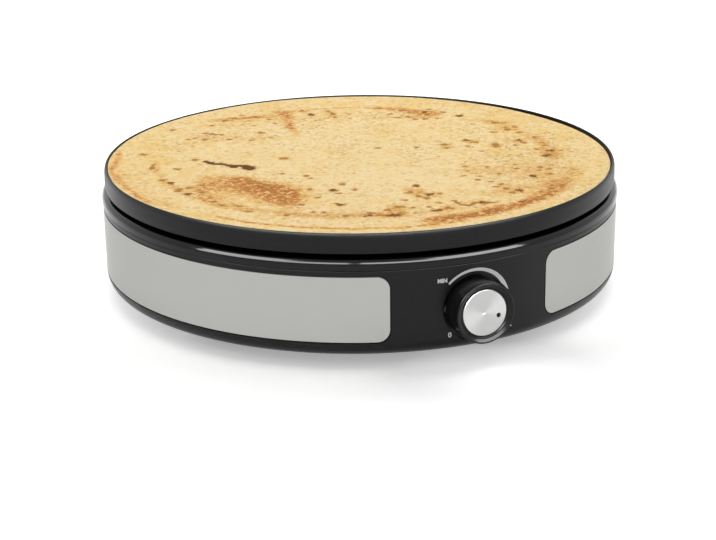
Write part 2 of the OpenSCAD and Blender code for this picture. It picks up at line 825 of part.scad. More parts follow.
module knob_cap() {
    color([0.86, 0.87, 0.87]) on_knob() rotate(pointer_at) difference() {
        rotate_extrude($fn = 128) polygon([
            [0, cap_seat], [cap_r, cap_seat], [cap_r, cap_face - 0.3],
            [cap_r - 0.3, cap_face], [0, cap_face - 0.15]]);
        translate([dot_at, 0, cap_face - 0.4]) cylinder(r = dot_r, h = 1, $fn = 32);
    }
}

// ---- sensor, fuse, block and leads ----------------------------------------

// A wire or tube through a list of points, with round joints.
module wire(points, r) {
    for (i = [0:len(points) - 2]) let (d = points[i + 1] - points[i], l = norm(d))
        translate(points[i]) rotate([0, acos(d[2] / l), atan2(d[1], d[0])])
            cylinder(r = r, h = l, $fn = 24);
    if (len(points) > 2) for (i = [1:len(points) - 2])
        translate(points[i]) sphere(r = r * 1.12, $fn = 24);
}

// A strap that holds a round body of radius r under the plate, with its screw flange.
module strap(r, w) {
    up = r + 0.3;
    rotate([90, 0, 90]) translate([0, 0, -w / 2]) linear_extrude(w) difference() {
        union() {
            circle(r = r + 0.1 + strap_t, $fn = 64);
            translate([-r - 0.1 - strap_t, 0]) square([2 * (r + 0.1 + strap_t), up]);
            translate([0, up - strap_t]) square([r + 9, strap_t]);
        }
        circle(r = r + 0.1, $fn = 64);
        translate([-r - 0.1, 0]) square([2 * (r + 0.1), up + 1]);
    }
}

module sensor_bulb() {
    color([0.72, 0.45, 0.25]) on_axis() translate([-bulb_l / 2, bulb_y, bulb_z])
        rotate([0, 90, 0]) rotate_extrude($fn = 48) polygon([
            [0, 0], [bulb_r * 0.5, 0], [bulb_r, 1.5], [bulb_r, bulb_l - 1.5],
            [bulb_r * 0.6, bulb_l], [0, bulb_l]]);
}

module bulb_clip() {
    color([0.72, 0.73, 0.74]) on_axis() translate([8, bulb_y, bulb_z]) strap(bulb_r, 9);
}

module capillary_tube() {
    x = -bulb_l / 2 - 6;
    color([0.72, 0.45, 0.25]) on_axis() wire([
        [0, -stat_back + 2, knob_z + 12.5],
        [0, -stat_back + 8, knob_z + 12.5],
        [x, -stat_back + 30, shield_z - 8],
        [x, bulb_y, shield_z - 5],
        [x, bulb_y, bulb_z],
        [-bulb_l / 2, bulb_y, bulb_z]], tube_r);
}

module thermal_fuse() {
    color([0.85, 0.84, 0.80]) on_axis() translate([fuse_pos[0], fuse_pos[1], fuse_z])
        rotate([90, 0, 0]) rotate_extrude($fn = 48) polygon([
            [0, -fuse_l], [1, -fuse_l], [1.2, -fuse_l + 5], [fuse_r, -fuse_l + 6],
            [fuse_r, fuse_l - 6], [1.2, fuse_l - 5], [1, fuse_l], [0, fuse_l]]);
}

module fuse_clip() {
    color([0.72, 0.73, 0.74]) on_axis() translate([fuse_pos[0], fuse_pos[1], fuse_z])
        rotate(90) strap(fuse_r, 7);
}

module terminal_block() {
    color([0.88, 0.87, 0.82]) on_axis() translate([0, block_y, cover_z1]) difference() {
        union() {
            translate([-block[0] / 2, -block[1] / 2, 0]) cube([block[0], block[1], block[2] - 3]);
            translate([-block[0] / 2 + 1, -block[1] / 2 + 3, 0])
                cube([block[0] - 2, block[1] - 6, block[2] - pole_h]);
            for (x = [-pole_x, 0, pole_x]) translate([x, 0, block[2] - pole_h - 1])
                cylinder(r = pole_r, h = pole_h + 1, $fn = 48);
        }
        for (x = [-pole_x / 2, pole_x / 2])
            translate([x - 0.6, -block[1], 4]) cube([1.2, 2 * block[1], 20]);
    }
}

module earth_screw() {
    z = under_z - earth_boss_h;
    color([0.80, 0.66, 0.30]) on_axis() translate([0, block_y, 0]) {
        translate([0, 0, z - 1.2 - head_h]) cylinder(r = head_r, h = head_h, $fn = 48);
        translate([0, 0, z - 1.2]) cylinder(r = head_r + 0.8, h = 1.2, $fn = 48);
        translate([0, 0, z - 2]) cylinder(r = screw_r, h = earth_boss_h + 3, $fn = 32);
    }
}

block_top = cover_z1 + block[2];

module earth_lead() {
    color([0.45, 0.65, 0.20]) on_axis() wire([
        [0, block_y, block_top], [0, block_y, under_z - earth_boss_h - 1.2 - head_h]], lead_r);
}

// The lower end of an element tab, on the left (-1) or the right (1).
function element_tab(side) = let (a = 90 - side * elem_gap_deg / 2) [
    elem_r * cos(a) - side * pin_y * sin(a),
    elem_r * sin(a) + side * pin_y * cos(a),
    elem_z - bend_r - cold_l - bead_h - tab[2]];

module neutral_lead() {
    p = element_tab(-1);
    color([0.20, 0.35, 0.75]) on_axis() wire([
        [-pole_x, block_y, block_top], [-pole_x, block_y, block_top + lead_rise],
        [p[0], p[1], p[2] - lead_dip], p], lead_r);
}

module live_lead() {
    x = -tab_x;
    color([0.45, 0.27, 0.15]) on_axis() wire([
        [pole_x, block_y, block_top], [pole_x, block_y, block_top + lead_rise],
        [pole_x + lead_side, block_y - lead_past, cover_z1 + lead_floor],
        [pole_x + lead_side, lead_front, cover_z1 + lead_floor],
        [x, -stat_back + 2 + tab[2] + lead_rise, knob_z],
        [x, -stat_back + 2 + tab[2], knob_z]], lead_r);
}

module load_lead() {
    x = fuse_pos[0];
    y0 = fuse_pos[1] - fuse_l;
    y1 = fuse_pos[1] + fuse_l;
    p = element_tab(1);
    color([0.75, 0.75, 0.72]) on_axis() {
        wire([[tab_x, -stat_back + 2 + tab[2], knob_z],
            [tab_x, -stat_back + 2 + tab[2] + lead_rise, knob_z],
            [x, y0 - lead_out, shield_z - lead_under], [x, y0 - lead_out, fuse_z],
            [x, y0, fuse_z]], lead_r);
        wire([[x, y1, fuse_z], [x, y1 + lead_out, fuse_z],
            [x, y1 + lead_out, shield_z - lead_under], [p[0], p[1], p[2] - lead_under], p], lead_r);
    }
}

baking_plate();
heating_element();
element_terminals();
heat_shield();
plate_spacers();
plate_screws();
housing_ring();
ring_screws();
housing_shell();
left_panel();
right_panel();
base_cover();
base_screws();
foot_front_left();
foot_front_right();
foot_rear_left();
foot_rear_right();
cord_gland();
thermostat_body();
thermostat_screws();
thermostat_spindle();
knob_clip();
knob_body();
knob_cap();
capillary_tube();
sensor_bulb();
bulb_clip();
thermal_fuse();
fuse_clip();
terminal_block();
earth_screw();
live_lead();
load_lead();
neutral_lead();
earth_lead();
crepe();
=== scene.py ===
"""The finish of the electric crepe maker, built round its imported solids.

Named lengths are in metres and named angles in degrees, unless a comment says otherwise.
The knob points along -Y, and every place on the housing is measured from the plate's upright axis.
"""

import json
import math

import bpy
import numpy
from mathutils import Matrix, Vector, noise


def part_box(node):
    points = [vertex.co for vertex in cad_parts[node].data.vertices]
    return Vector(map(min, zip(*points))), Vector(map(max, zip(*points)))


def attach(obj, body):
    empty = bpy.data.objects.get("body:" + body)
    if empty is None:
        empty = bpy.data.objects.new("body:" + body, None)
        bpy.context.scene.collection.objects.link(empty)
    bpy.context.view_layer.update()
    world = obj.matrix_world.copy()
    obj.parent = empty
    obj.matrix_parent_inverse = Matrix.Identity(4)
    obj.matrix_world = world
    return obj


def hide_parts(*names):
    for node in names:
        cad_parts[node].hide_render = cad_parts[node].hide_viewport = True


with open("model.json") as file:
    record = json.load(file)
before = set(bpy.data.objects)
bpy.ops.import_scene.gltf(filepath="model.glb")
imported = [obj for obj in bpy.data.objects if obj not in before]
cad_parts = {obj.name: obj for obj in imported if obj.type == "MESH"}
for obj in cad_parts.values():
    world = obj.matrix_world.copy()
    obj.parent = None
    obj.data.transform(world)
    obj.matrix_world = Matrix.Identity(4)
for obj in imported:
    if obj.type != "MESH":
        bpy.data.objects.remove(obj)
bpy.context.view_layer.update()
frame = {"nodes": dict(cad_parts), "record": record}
nodes = frame["nodes"]

MM = 0.001

# ---- places taken from the solids -------------------------------------------

plate_low, plate_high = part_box("baking_plate")
shell_low, shell_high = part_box("housing_shell")
panel_low, panel_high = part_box("right_panel")
knob_low, knob_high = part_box("knob_body")
cap_low, cap_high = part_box("knob_cap")
crepe_low, crepe_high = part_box("crepe")

AXIS_Y = (plate_low.y + plate_high.y) / 2
KNOB_Z = (knob_low.z + knob_high.z) / 2
CAP_FRONT = cap_low.y
CREST_Z = plate_high.z

# The housing's wall leans in by the draft from its top down to its belt.
SHELL_BELT_Z = 13.7 * MM
SHELL_DRAFT = 0.3 * MM


def shell_radius(z):
    """The housing's outer radius at a height above its belt."""
    share = (shell_high.z - z) / (shell_high.z - SHELL_BELT_Z)
    return shell_high.x - SHELL_DRAFT * share


def on_shell(along, z, proud=0.0):
    """A point on the housing, by its distance along the arc to the right of the knob."""
    turn = along / shell_radius(KNOB_Z)
    radius = shell_radius(z) + proud
    return Vector((radius * math.sin(turn), AXIS_Y - radius * math.cos(turn), z))


# ---- small helpers for pieces ------------------------------------------------

# The least upward share of a normal that looks up, and how close two points count as one.
FACES_UP = 0.9
DOUBLES = 1e-7


def start_piece():
    """Deselects everything, so that an operator acts on the new piece alone."""
    if bpy.context.object and bpy.context.object.mode != "OBJECT":
        bpy.ops.object.mode_set(mode="OBJECT")
    bpy.ops.object.select_all(action="DESELECT")


def finish_piece(piece, name, body, finish, smooth_angle=35.0):
    """Names a piece, gives it its finish and lets it ride on its body."""
    piece.name = name
    piece.data.name = name
    start_piece()
    piece.select_set(True)
    bpy.context.view_layer.objects.active = piece
    bpy.ops.object.shade_smooth_by_angle(angle=math.radians(smooth_angle))
    piece.data.materials.clear()
    piece.data.materials.append(finish)
    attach(piece, body)


def apply_modifier(piece, kind, **settings):
    """Adds a modifier with its settings and applies it."""
    modifier = piece.modifiers.new(kind.title(), kind)
    for key, value in settings.items():
        setattr(modifier, key, value)
    bpy.context.view_layer.objects.active = piece
    bpy.ops.object.modifier_apply(modifier=modifier.name)


def select_upward_faces(piece):
    """Selects the faces that look up, for the next steps in edit mode."""
    for face in piece.data.polygons:
        face.select = face.normal.z > FACES_UP


def point_faces_outwards(piece):
    """Joins the doubles of a closed piece and points its faces outwards."""
    start_piece()
    piece.select_set(True)
    bpy.context.view_layer.objects.active = piece
    bpy.ops.object.mode_set(mode="EDIT")
    bpy.ops.mesh.select_all(action="SELECT")
    bpy.ops.mesh.remove_doubles(threshold=DOUBLES)
    bpy.ops.mesh.normals_make_consistent(inside=False)
    bpy.ops.object.mode_set(mode="OBJECT")


def add_values(piece, name, values):
    """Stores one number per vertex, which a material reads by name."""
    layer = piece.data.attributes.new(name, "FLOAT", "POINT")
    layer.data.foreach_set("value", values)


# ---- small helpers for finishes ----------------------------------------------


class Finish:
    """A material whose shader holds its constants, with nodes that vary them over the surface."""

    def __init__(self, name, colour, roughness, metallic=0.0, specular=0.5):
        self.material = bpy.data.materials.new(name)
        self.material.use_nodes = True
        self.tree = self.material.node_tree
        self.shader = self.tree.nodes["Principled BSDF"]
        self.shader.inputs["Base Color"].default_value = (*colour, 1)
        self.shader.inputs["Roughness"].default_value = roughness
        self.shader.inputs["Metallic"].default_value = metallic
        self.shader.inputs["Specular IOR Level"].default_value = specular
        self.colour = colour

    def add(self, kind, inputs=None, **settings):
        """A node of a kind, with its settings and with numbers or links on its inputs."""
        made = self.tree.nodes.new(kind)
        for key, value in settings.items():
            setattr(made, key, value)
        for key, value in (inputs or {}).items():
            if isinstance(value, bpy.types.NodeSocket):
                self.tree.links.new(value, made.inputs[key])
            else:
                made.inputs[key].default_value = value
        return made

    def place(self, scale=(1, 1, 1), shift=(0, 0, 0), source="Object"):
        """The piece's own coordinates, moved and stretched."""
        point = self.add("ShaderNodeTexCoord").outputs[source]
        return self.add(
            "ShaderNodeMapping", {"Vector": point, "Scale": scale, "Location": shift}
        ).outputs["Vector"]

    def noise(self, scale, detail=3.0, roughness=0.5, vector=None, distortion=0.0):
        """Noise from 0 to 1."""
        vector = vector or self.place()
        return self.add(
            "ShaderNodeTexNoise",
            {
                "Vector": vector,
                "Scale": scale,
                "Detail": detail,
                "Roughness": roughness,
                "Distortion": distortion,
            },
        ).outputs["Fac"]

    def remap(self, value, low, high, to_low=0.0, to_high=1.0, smooth=False):
        """A value from one span to another, clamped."""
        return self.add(
            "ShaderNodeMapRange",
            {
                "Value": value,
                "From Min": low,
                "From Max": high,
                "To Min": to_low,
                "To Max": to_high,
            },
            interpolation_type="SMOOTHSTEP" if smooth else "LINEAR",
        ).outputs["Result"]

    def maths(self, operation, first, second=0.0):
        """One sum of two values."""
        made = self.add("ShaderNodeMath", operation=operation)
        for socket, value in zip(made.inputs, (first, second)):
            if isinstance(value, bpy.types.NodeSocket):
                self.tree.links.new(value, socket)
            else:
                socket.default_value = value
        return made.outputs["Value"]

    def vector_maths(self, operation, *values, wanted="Vector"):
        """One sum of vectors."""
        made = self.add("ShaderNodeVectorMath", dict(enumerate(values)), operation=operation)
        return made.outputs[wanted]

    def mix(self, share, first, second, blend="MIX"):
        """Two colours mixed by a share."""
        made = self.add("ShaderNodeMix", data_type="RGBA", blend_type=blend)
        wanted = {"Factor_Float": share, "A_Color": first, "B_Color": second}
        for socket in made.inputs:
            value = wanted.get(socket.identifier)
            if value is None:
                continue
            if isinstance(value, bpy.types.NodeSocket):
                self.tree.links.new(value, socket)
            elif isinstance(value, tuple):
                socket.default_value = (*value, 1)
            else:
                socket.default_value = value
        return next(s for s in made.outputs if s.identifier == "Result_Color")

    def set(self, name, value):
        """Links a value to one of the shader's inputs."""
        self.tree.links.new(value, self.shader.inputs[name])

    def vary_colour(self, value, darker, lighter):
        """Varies the base colour about its own by two factors."""
        low = tuple(c * darker for c in self.colour)
        high = tuple(min(1.0, c * lighter) for c in self.colour)
        self.set("Base Color", self.mix(value, low, high))

    def vary_roughness(self, value, low, high, span=(0.3, 0.7)):
        """Varies the roughness between two values."""
        self.set("Roughness", self.remap(value, span[0], span[1], low, high))

    def bump(self, height, distance, strength=1.0):
        """Relief from a height of 0 to 1, as deep as the distance."""
        made = self.add(
            "ShaderNodeBump", {"Height": height, "Distance": distance, "Strength": strength}
        )
        self.set("Normal", made.outputs["Normal"])


# ---- finishes ------------------------------------------------------------------


def plate_coating():
    """Charcoal non-stick coating, sprayed on cast aluminium."""
    coat = Finish("plate_coating", (0.0105, 0.0105, 0.0108), 0.38, specular=0.15)
    grain = coat.noise(2600, detail=2)
    cloud = coat.noise(22, detail=3)
    coat.vary_colour(cloud, 0.85, 1.15)
    coat.vary_roughness(cloud, 0.32, 0.42)
    coat.bump(grain, 0.06 * MM, 0.4)
    return coat.material


def ring_black():
    """Glossy black moulding, with the slight waves that a moulded gloss has."""
    gloss = Finish("ring_black", (0.003, 0.003, 0.0032), 0.09, specular=0.24)
    wave = gloss.noise(60, detail=1)
    haze = gloss.noise(18, detail=4)
    gloss.vary_colour(haze, 0.8, 1.2)
    gloss.vary_roughness(haze, 0.07, 0.11)
    gloss.bump(wave, 0.03 * MM, 0.3)
    return gloss.material


def moulded_black(name, colour, roughness, grain_scale, grain_depth, specular=0.25):
    """Satin black moulding with a fine spark-eroded grain."""
    satin = Finish(name, colour, roughness, specular=specular)
    grain = satin.noise(grain_scale, detail=2)
    cloud = satin.noise(14, detail=3)
    satin.vary_colour(cloud, 0.88, 1.12)
    satin.vary_roughness(cloud, roughness - 0.04, roughness + 0.05)
    satin.bump(grain, grain_depth, 0.4)
    return satin.material


# How fine the brushing is along and across the sheet, in its hairs and in its wider bands.
HAIR_SCALE = (22, 5200, 1)
BAND_SCALE = (9, 420, 1)


def brushed_panel():
    """Stainless sheet, brushed along the panel. It reads the sheet's own flat map, in metres."""
    steel = Finish("brushed_panel", (0.358, 0.362, 0.342), 0.30, metallic=1.0)
    hairs = steel.noise(1, detail=4, vector=steel.place(HAIR_SCALE, source="UV"))
    bands = steel.noise(1, detail=2, vector=steel.place(BAND_SCALE, source="UV"))
    steel.vary_colour(hairs, 0.985, 1.015)
    steel.vary_roughness(bands, 0.28, 0.32)
    steel.bump(hairs, 0.004 * MM, 0.25)
    steel.shader.inputs["Anisotropic"].default_value = 0.45
    steel.shader.inputs["Specular Tint"].default_value = (0.78, 0.78, 0.78, 1)
    tangent = steel.add("ShaderNodeTangent", direction_type="UV_MAP").outputs["Tangent"]
    steel.set("Tangent", tangent)
    return steel.material


# How fine the rings are, and the radius of the painted shade in the middle of the disc, which dims
# the highlight there.
TURNED_RINGS = 5200.0
CENTRE_SHADE_R = 1.2 * MM


def spun_silver():
    """Aluminium disc, turned on its face: fine rings about the knob's axis, with painted shade at
    its middle.
    """
    disc = Finish("knob_silver", (0.452, 0.452, 0.444), 0.28, metallic=1.0)
    from_axis = disc.place(shift=(0, 0, -KNOB_Z))
    flat = disc.vector_maths("MULTIPLY", from_axis, (1, 0, 1))
    radius = disc.vector_maths("LENGTH", flat, wanted="Value")
    rings = disc.add(
        "ShaderNodeTexNoise",
        {"W": radius, "Scale": TURNED_RINGS, "Detail": 3.0},
        noise_dimensions="1D",
    ).outputs["Fac"]
    # Painted shade: the colour falls to its darker end at the disc's middle, to dim the highlight
    # where the rings meet.
    centre_shade = disc.remap(radius, 0, CENTRE_SHADE_R)
    disc.vary_colour(disc.maths("MULTIPLY", rings, centre_shade), 0.85, 1.15)
    disc.vary_roughness(rings, 0.27, 0.31)
    disc.bump(rings, 0.003 * MM, 0.2)
    disc.shader.inputs["Anisotropic"].default_value = 0.8
    around = disc.vector_maths("CROSS_PRODUCT", flat, (0, 1, 0))
    turned = disc.add(
        "ShaderNodeVectorTransform",
        {"Vector": around},
        vector_type="VECTOR",
        convert_from="OBJECT",
        convert_to="WORLD",
    ).outputs["Vector"]
    disc.set("Tangent", turned)
    return disc.material


def plain_metal(name, colour, roughness, grain=900.0):
    """Plated or drawn metal with a faint grain and dull patches."""
    metal = Finish(name, colour, roughness, metallic=1.0)
    cloud = metal.noise(45, detail=4)
    metal.vary_colour(cloud, 0.82, 1.08)
    metal.vary_roughness(cloud, roughness - 0.08, roughness + 0.12)
    metal.bump(metal.noise(grain, detail=2), 0.02 * MM, 0.4)
    return metal.material


def heated_sheath():
    """The element's steel sheath, straw and blue where it has been hot."""
    sheath = Finish("element_steel", (0.30, 0.27, 0.24), 0.45, metallic=1.0)
    tint = sheath.noise(30, detail=4)
    straw = sheath.mix(sheath.remap(tint, 0.35, 0.6), (0.20, 0.20, 0.24), (0.36, 0.28, 0.18))
    sheath.set("Base Color", straw)
    sheath.vary_roughness(tint, 0.38, 0.55)
    sheath.bump(sheath.noise(1500), 0.02 * MM, 0.4)
    return sheath.material


def fired_ceramic():
    """Matt off-white ceramic with faint specks."""
    body = Finish("ceramic", (0.72, 0.69, 0.60), 0.62)
    specks = body.noise(1400, detail=1)
    body.vary_colour(body.remap(specks, 0.55, 0.75), 1.0, 0.72)
    body.vary_roughness(body.noise(60), 0.55, 0.7)
    body.bump(specks, 0.03 * MM, 0.3)
    return body.material


def lead_sleeve(name, colour):
    """A lead's sleeve, slightly dusty and uneven."""
    sleeve = Finish(name, colour, 0.5)
    dust = sleeve.noise(220, detail=3)
    sleeve.vary_colour(dust, 0.8, 1.15)
    sleeve.vary_roughness(dust, 0.42, 0.6)
    sleeve.bump(sleeve.noise(2200, detail=1), 0.03 * MM, 0.3)
    return sleeve.material


def foot_rubber():
    """Matt black rubber with a fine bloom."""
    rubber = Finish("foot_rubber", (0.018, 0.018, 0.018), 0.75, specular=0.3)
    bloom = rubber.noise(160, detail=4)
    rubber.vary_colour(bloom, 0.8, 1.5)
    rubber.vary_roughness(bloom, 0.68, 0.85)
    rubber.bump(rubber.noise(1800, detail=2), 0.05 * MM, 0.4)
    return rubber.material


def dial_ink():
    """Pale grey ink, printed on the housing."""
    ink = Finish("dial_ink", (0.72, 0.72, 0.72), 0.5)
    film = ink.noise(900, detail=3)
    ink.vary_colour(film, 0.88, 1.06)
    ink.vary_roughness(film, 0.44, 0.58)
    ink.bump(film, 0.01 * MM, 0.3)
    return ink.material


def dot_black():
    """Black paint in the knob's pointer dimple."""
    paint = Finish("dot_black", (0.003, 0.003, 0.003), 0.5, specular=0.1)
    film = paint.noise(1500, detail=2)
    paint.vary_roughness(film, 0.3, 0.42)
    paint.vary_colour(film, 0.8, 1.3)
    return paint.material


# The colours that batter goes through as it bakes, from pale to burnt.
CREAM = (0.90, 0.71, 0.39)
GOLD = (0.87, 0.62, 0.25)
FLECK = (0.64, 0.41, 0.155)
AMBER = (0.78, 0.46, 0.155)
TOAST = (0.57, 0.225, 0.062)
DEEP_TOAST = (0.34, 0.105, 0.026)
SPOT = (0.38, 0.17, 0.045)
CHAR = (0.20, 0.075, 0.018)
CREASE = (0.10, 0.045, 0.012)

# The flecks' noise is moved off the mottle's, and edges wander by the ragged distance. A spot
# fades between these two depths inside its cell.
FLECK_SHIFT = (3, 5, 7)
RAGGED = 2.6 * MM
SPOT_SOFT = (-0.04, 0.12)

# From how toasted to how toasted a place turns to a colour.
BROWNING = [
    (0.05, 0.45, AMBER),
    (0.34, 0.85, TOAST),
    (0.85, 1.25, DEEP_TOAST),
]


def batter_fields(bake):
    """What the batter's colours share: the values painted on the sheet, and noises, by name."""
    fields = {
        name: bake.add("ShaderNodeAttribute", attribute_name=name).outputs["Fac"]
        for name in ("toast", "spot", "char", "crack", "gold", "freckle")
    }
    own = bake.place()
    wander = bake.add("ShaderNodeTexNoise", {"Vector": own, "Scale": 520.0, "Detail": 3.0})
    reach = (RAGGED, RAGGED, RAGGED)
    fields["ragged"] = bake.vector_maths("MULTIPLY_ADD", wander.outputs["Color"], reach, own)
    fields["soft"] = bake.noise(45, detail=4, roughness=0.6)
    fields["mottle"] = bake.noise(300, detail=5, roughness=0.65, distortion=0.6)
    fields["grain"] = bake.noise(900, detail=3, roughness=0.6)
    return fields


def baked_spots(bake, place, scale, share, small, large):
    """Round spots in scattered cells: where the share is high, more of the cells hold one."""
    cells = bake.add(
        "ShaderNodeTexVoronoi",
        {"Vector": place, "Scale": scale, "Randomness": 1.0},
        feature="F1",
        voronoi_dimensions="2D",
    )
    parts = bake.add("ShaderNodeSeparateColor", {"Color": cells.outputs["Color"]})
    held = bake.maths("LESS_THAN", parts.outputs["Red"], share)
    size = bake.remap(parts.outputs["Green"], 0, 1, small, large)
    inside = bake.maths("SUBTRACT", size, cells.outputs["Distance"])
    return bake.maths("MULTIPLY", bake.remap(inside, *SPOT_SOFT, smooth=True), held)


def pale_skin(bake, fields):
    """Cream that turns gold in clouds, with small flecks."""
    clouds = bake.noise(110, detail=4, roughness=0.62, distortion=0.8)
    yellow = bake.maths("ADD", bake.remap(fields["soft"], 0.35, 0.68, -0.1, 0.35), fields["gold"])
    yellow = bake.maths("ADD", yellow, bake.remap(clouds, 0.40, 0.62, -0.4, 0.5))
    skin = bake.mix(bake.remap(yellow, 0, 1), CREAM, GOLD)
    apart = bake.place(shift=FLECK_SHIFT)
    flecks = bake.noise(300, detail=3, roughness=0.6, distortion=1.0, vector=apart)
    dense = bake.maths("ADD", flecks, bake.maths("MULTIPLY", fields["freckle"], 0.16))
    skin = bake.mix(bake.remap(dense, 0.55, 0.70, 0, 0.6, smooth=True), skin, FLECK)
    share = bake.remap(fields["freckle"], 0, 1, 0.10, 0.7)
    cells = baked_spots(bake, fields["ragged"], 200, share, 0.12, 0.42)
    return bake.mix(bake.maths("MULTIPLY", cells, 0.45), skin, FLECK)


def browned_skin(bake, fields, skin):
    """Amber, then brown, the more toasted a place is, with a few small brown spots."""
    uneven = bake.remap(fields["mottle"], 0.40, 0.60, 0.35, 2.1)
    patchy = bake.maths("MULTIPLY", fields["toast"], uneven)
    for low, high, colour in BROWNING:
        skin = bake.mix(bake.remap(patchy, low, high), skin, colour)
    share = bake.remap(fields["freckle"], 0.2, 1, 0, 0.5)
    cells = baked_spots(bake, fields["ragged"], 330, share, 0.14, 0.42)
    return bake.mix(bake.maths("MULTIPLY", cells, 0.6), skin, SPOT)


def spotted_skin(bake, fields, skin):
    """The large spots, brown or dark, each with an amber halo and a ragged edge."""
    ragged_edge = bake.remap(fields["mottle"], 0.40, 0.60, -0.2, 0.2)
    browned = bake.maths("ADD", fields["spot"], ragged_edge)
    charred = bake.maths("ADD", fields["char"], ragged_edge)
    halo = bake.maths("MAXIMUM", browned, charred)
    skin = bake.mix(bake.remap(halo, 0.0, 0.5, 0, 0.7), skin, AMBER)
    skin = bake.mix(bake.remap(browned, 0.26, 0.68, 0, 0.85, smooth=True), skin, SPOT)
    return bake.mix(bake.remap(charred, 0.28, 0.66, 0, 0.92, smooth=True), skin, CHAR)


def cracked_skin(bake, fields, skin):
    """The crack: toasted beside it and nearly black inside."""
    torn = bake.maths("ADD", fields["crack"], bake.remap(fields["mottle"], 0.3, 0.7, -0.15, 0.15))
    skin = bake.mix(bake.remap(torn, 0.1, 0.6, 0, 0.6), skin, TOAST)
    return bake.mix(bake.remap(torn, 0.34, 0.66, 0, 0.95, smooth=True), skin, CREASE)


def baked_batter():
    """Baked batter: cream and gold, toasted where the sheet was painted so, with dark spots."""
    bake = Finish("crepe", CREAM, 0.8, specular=0.03)
    fields = batter_fields(bake)
    skin = pale_skin(bake, fields)
    skin = browned_skin(bake, fields, skin)
    skin = spotted_skin(bake, fields, skin)
    skin = cracked_skin(bake, fields, skin)
    fine = bake.remap(fields["grain"], 0.3, 0.7, 0.95, 1.04)
    bright = bake.add("ShaderNodeCombineColor", {"Red": fine, "Green": fine, "Blue": fine})
    bake.set("Base Color", bake.mix(1.0, skin, bright.outputs["Color"], "MULTIPLY"))
    bake.vary_roughness(fields["soft"], 0.72, 0.88)
    coarse = bake.maths("MULTIPLY", fields["mottle"], 0.6)
    relief = bake.maths("ADD", coarse, bake.maths("MULTIPLY", fields["grain"], 0.4))
    bake.bump(relief, 0.3 * MM, 0.5)
    return bake.material


FINISHES = {
    "plate_coating": plate_coating(),
    "crepe": baked_batter(),
    "ring_black": ring_black(),
    "housing_black": moulded_black(
        "housing_black", (0.0045, 0.0045, 0.0047), 0.30, 1900, 0.02 * MM, 0.20
    ),
    "brushed_panel": brushed_panel(),
    "knob_black": moulded_black("knob_black", (0.008, 0.008, 0.0082), 0.24, 1200, 0.01 * MM, 0.19),
    "knob_silver": spun_silver(),
    "cover_black": moulded_black("cover_black", (0.016, 0.016, 0.0165), 0.52, 1300, 0.06 * MM),
    "foot_rubber": foot_rubber(),
    "zinc_steel": plain_metal("zinc_steel", (0.60, 0.61, 0.62), 0.34),
    "shield_steel": plain_metal("shield_steel", (0.66, 0.67, 0.68), 0.42, 500),
    "element_steel": heated_sheath(),
    "ceramic": fired_ceramic(),
    "copper": plain_metal("copper", (0.66, 0.34, 0.19), 0.36),
    "brass": plain_metal("brass", (0.72, 0.53, 0.20), 0.34),
    "lead_brown": lead_sleeve("lead_brown", (0.16, 0.06, 0.025)),
    "lead_white": lead_sleeve("lead_white", (0.62, 0.61, 0.57)),
    "lead_blue": lead_sleeve("lead_blue", (0.02, 0.07, 0.36)),
    "lead_green": lead_sleeve("lead_green", (0.12, 0.34, 0.03)),
    "dial_ink": dial_ink(),
    "dot_black": dot_black(),
}


def dress_solids():
    """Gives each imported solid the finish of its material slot."""
    for part in frame["record"]["subparts"]:
        solid = nodes[part["node"]].data
        solid.materials.clear()
        solid.materials.append(FINISHES[part["material_slot"]])


# ---- the crepe -----------------------------------------------------------------

# The pattern is laid out on the crepe's own face, which was turned as it was laid down.
CREPE_TURN = -23.83
CREPE_GRID = 300
UNDERSIDE_DROP = 0.5

# The sheet reaches a little below the solid that it stands for, and in mm a little past it.
CREPE_BELOW = 0.05 * MM
CREPE_PAST = 0.1
CREPE_EDGE = (crepe_high.x - crepe_low.x) / 2 / MM + CREPE_PAST

# The edge falls short of its round by some mm about an angle, and towards the right, and it
# ripples: how far in mm, how many waves to a radius, and a seed.
EDGE_SHORT = 1.7
EDGE_SHORT_AT = 38
EDGE_SHORT_SPREAD = 24
EDGE_DRIFT = 0.25
EDGE_RIPPLES = [(0.15, 3, 7.3), (0.1, 13, 2.1)]

# The face in mm: its thickness, the least that is left of it, the sink of the crack, the swell
# of the toasted places, and waves by their height, size and seed.
CREPE_THICKNESS = 0.95
CREPE_LEAST = 0.25
CRACK_SINK = 0.35
TOAST_SWELL = 0.10
CREPE_WAVES = [(0.16, 34, 0.3), (0.10, 9, 5.5), (0.05, 3.2, 3.3)]

# The rim in mm: it thins at its very edge, and curls up, most of all towards one angle.
RIM_THIN = 0.3
RIM_THIN_WIDTH = 0.9
RIM_CURL = 0.95
RIM_CURL_WIDTH = 7
RIM_CURL_AT = 135

# How stains and spots wander, in mm: how far, the size of the waves, and a seed for x and for y.
STAIN_WANDER = [(3.0, 12, 1.7, 9.2), (1.4, 5, 3.7, 6.2)]
SPOT_WANDER = [(1.3, 2.8, 4.4, 0.6)]
BOW_WANDER = (2.0, 14, 5.1)

# A bow fades in so many degrees past its ends, and a spot or a streak at so many of its widths.
BOW_FADE = 4
SPOT_FADE = 2.5
STREAK_FADE = 2
FAR_OFF = 1e3
TINY = 1e-6

# How freckled and how yellow the plain face is: a level, how much it varies, size and seed.
FRECKLE_LEVEL = (0.18, 0.30, 24, 8.8)
GOLD_LEVEL = (0.16, 0.22, 50, 3.9)
STAIN_FRECKLES = 0.7

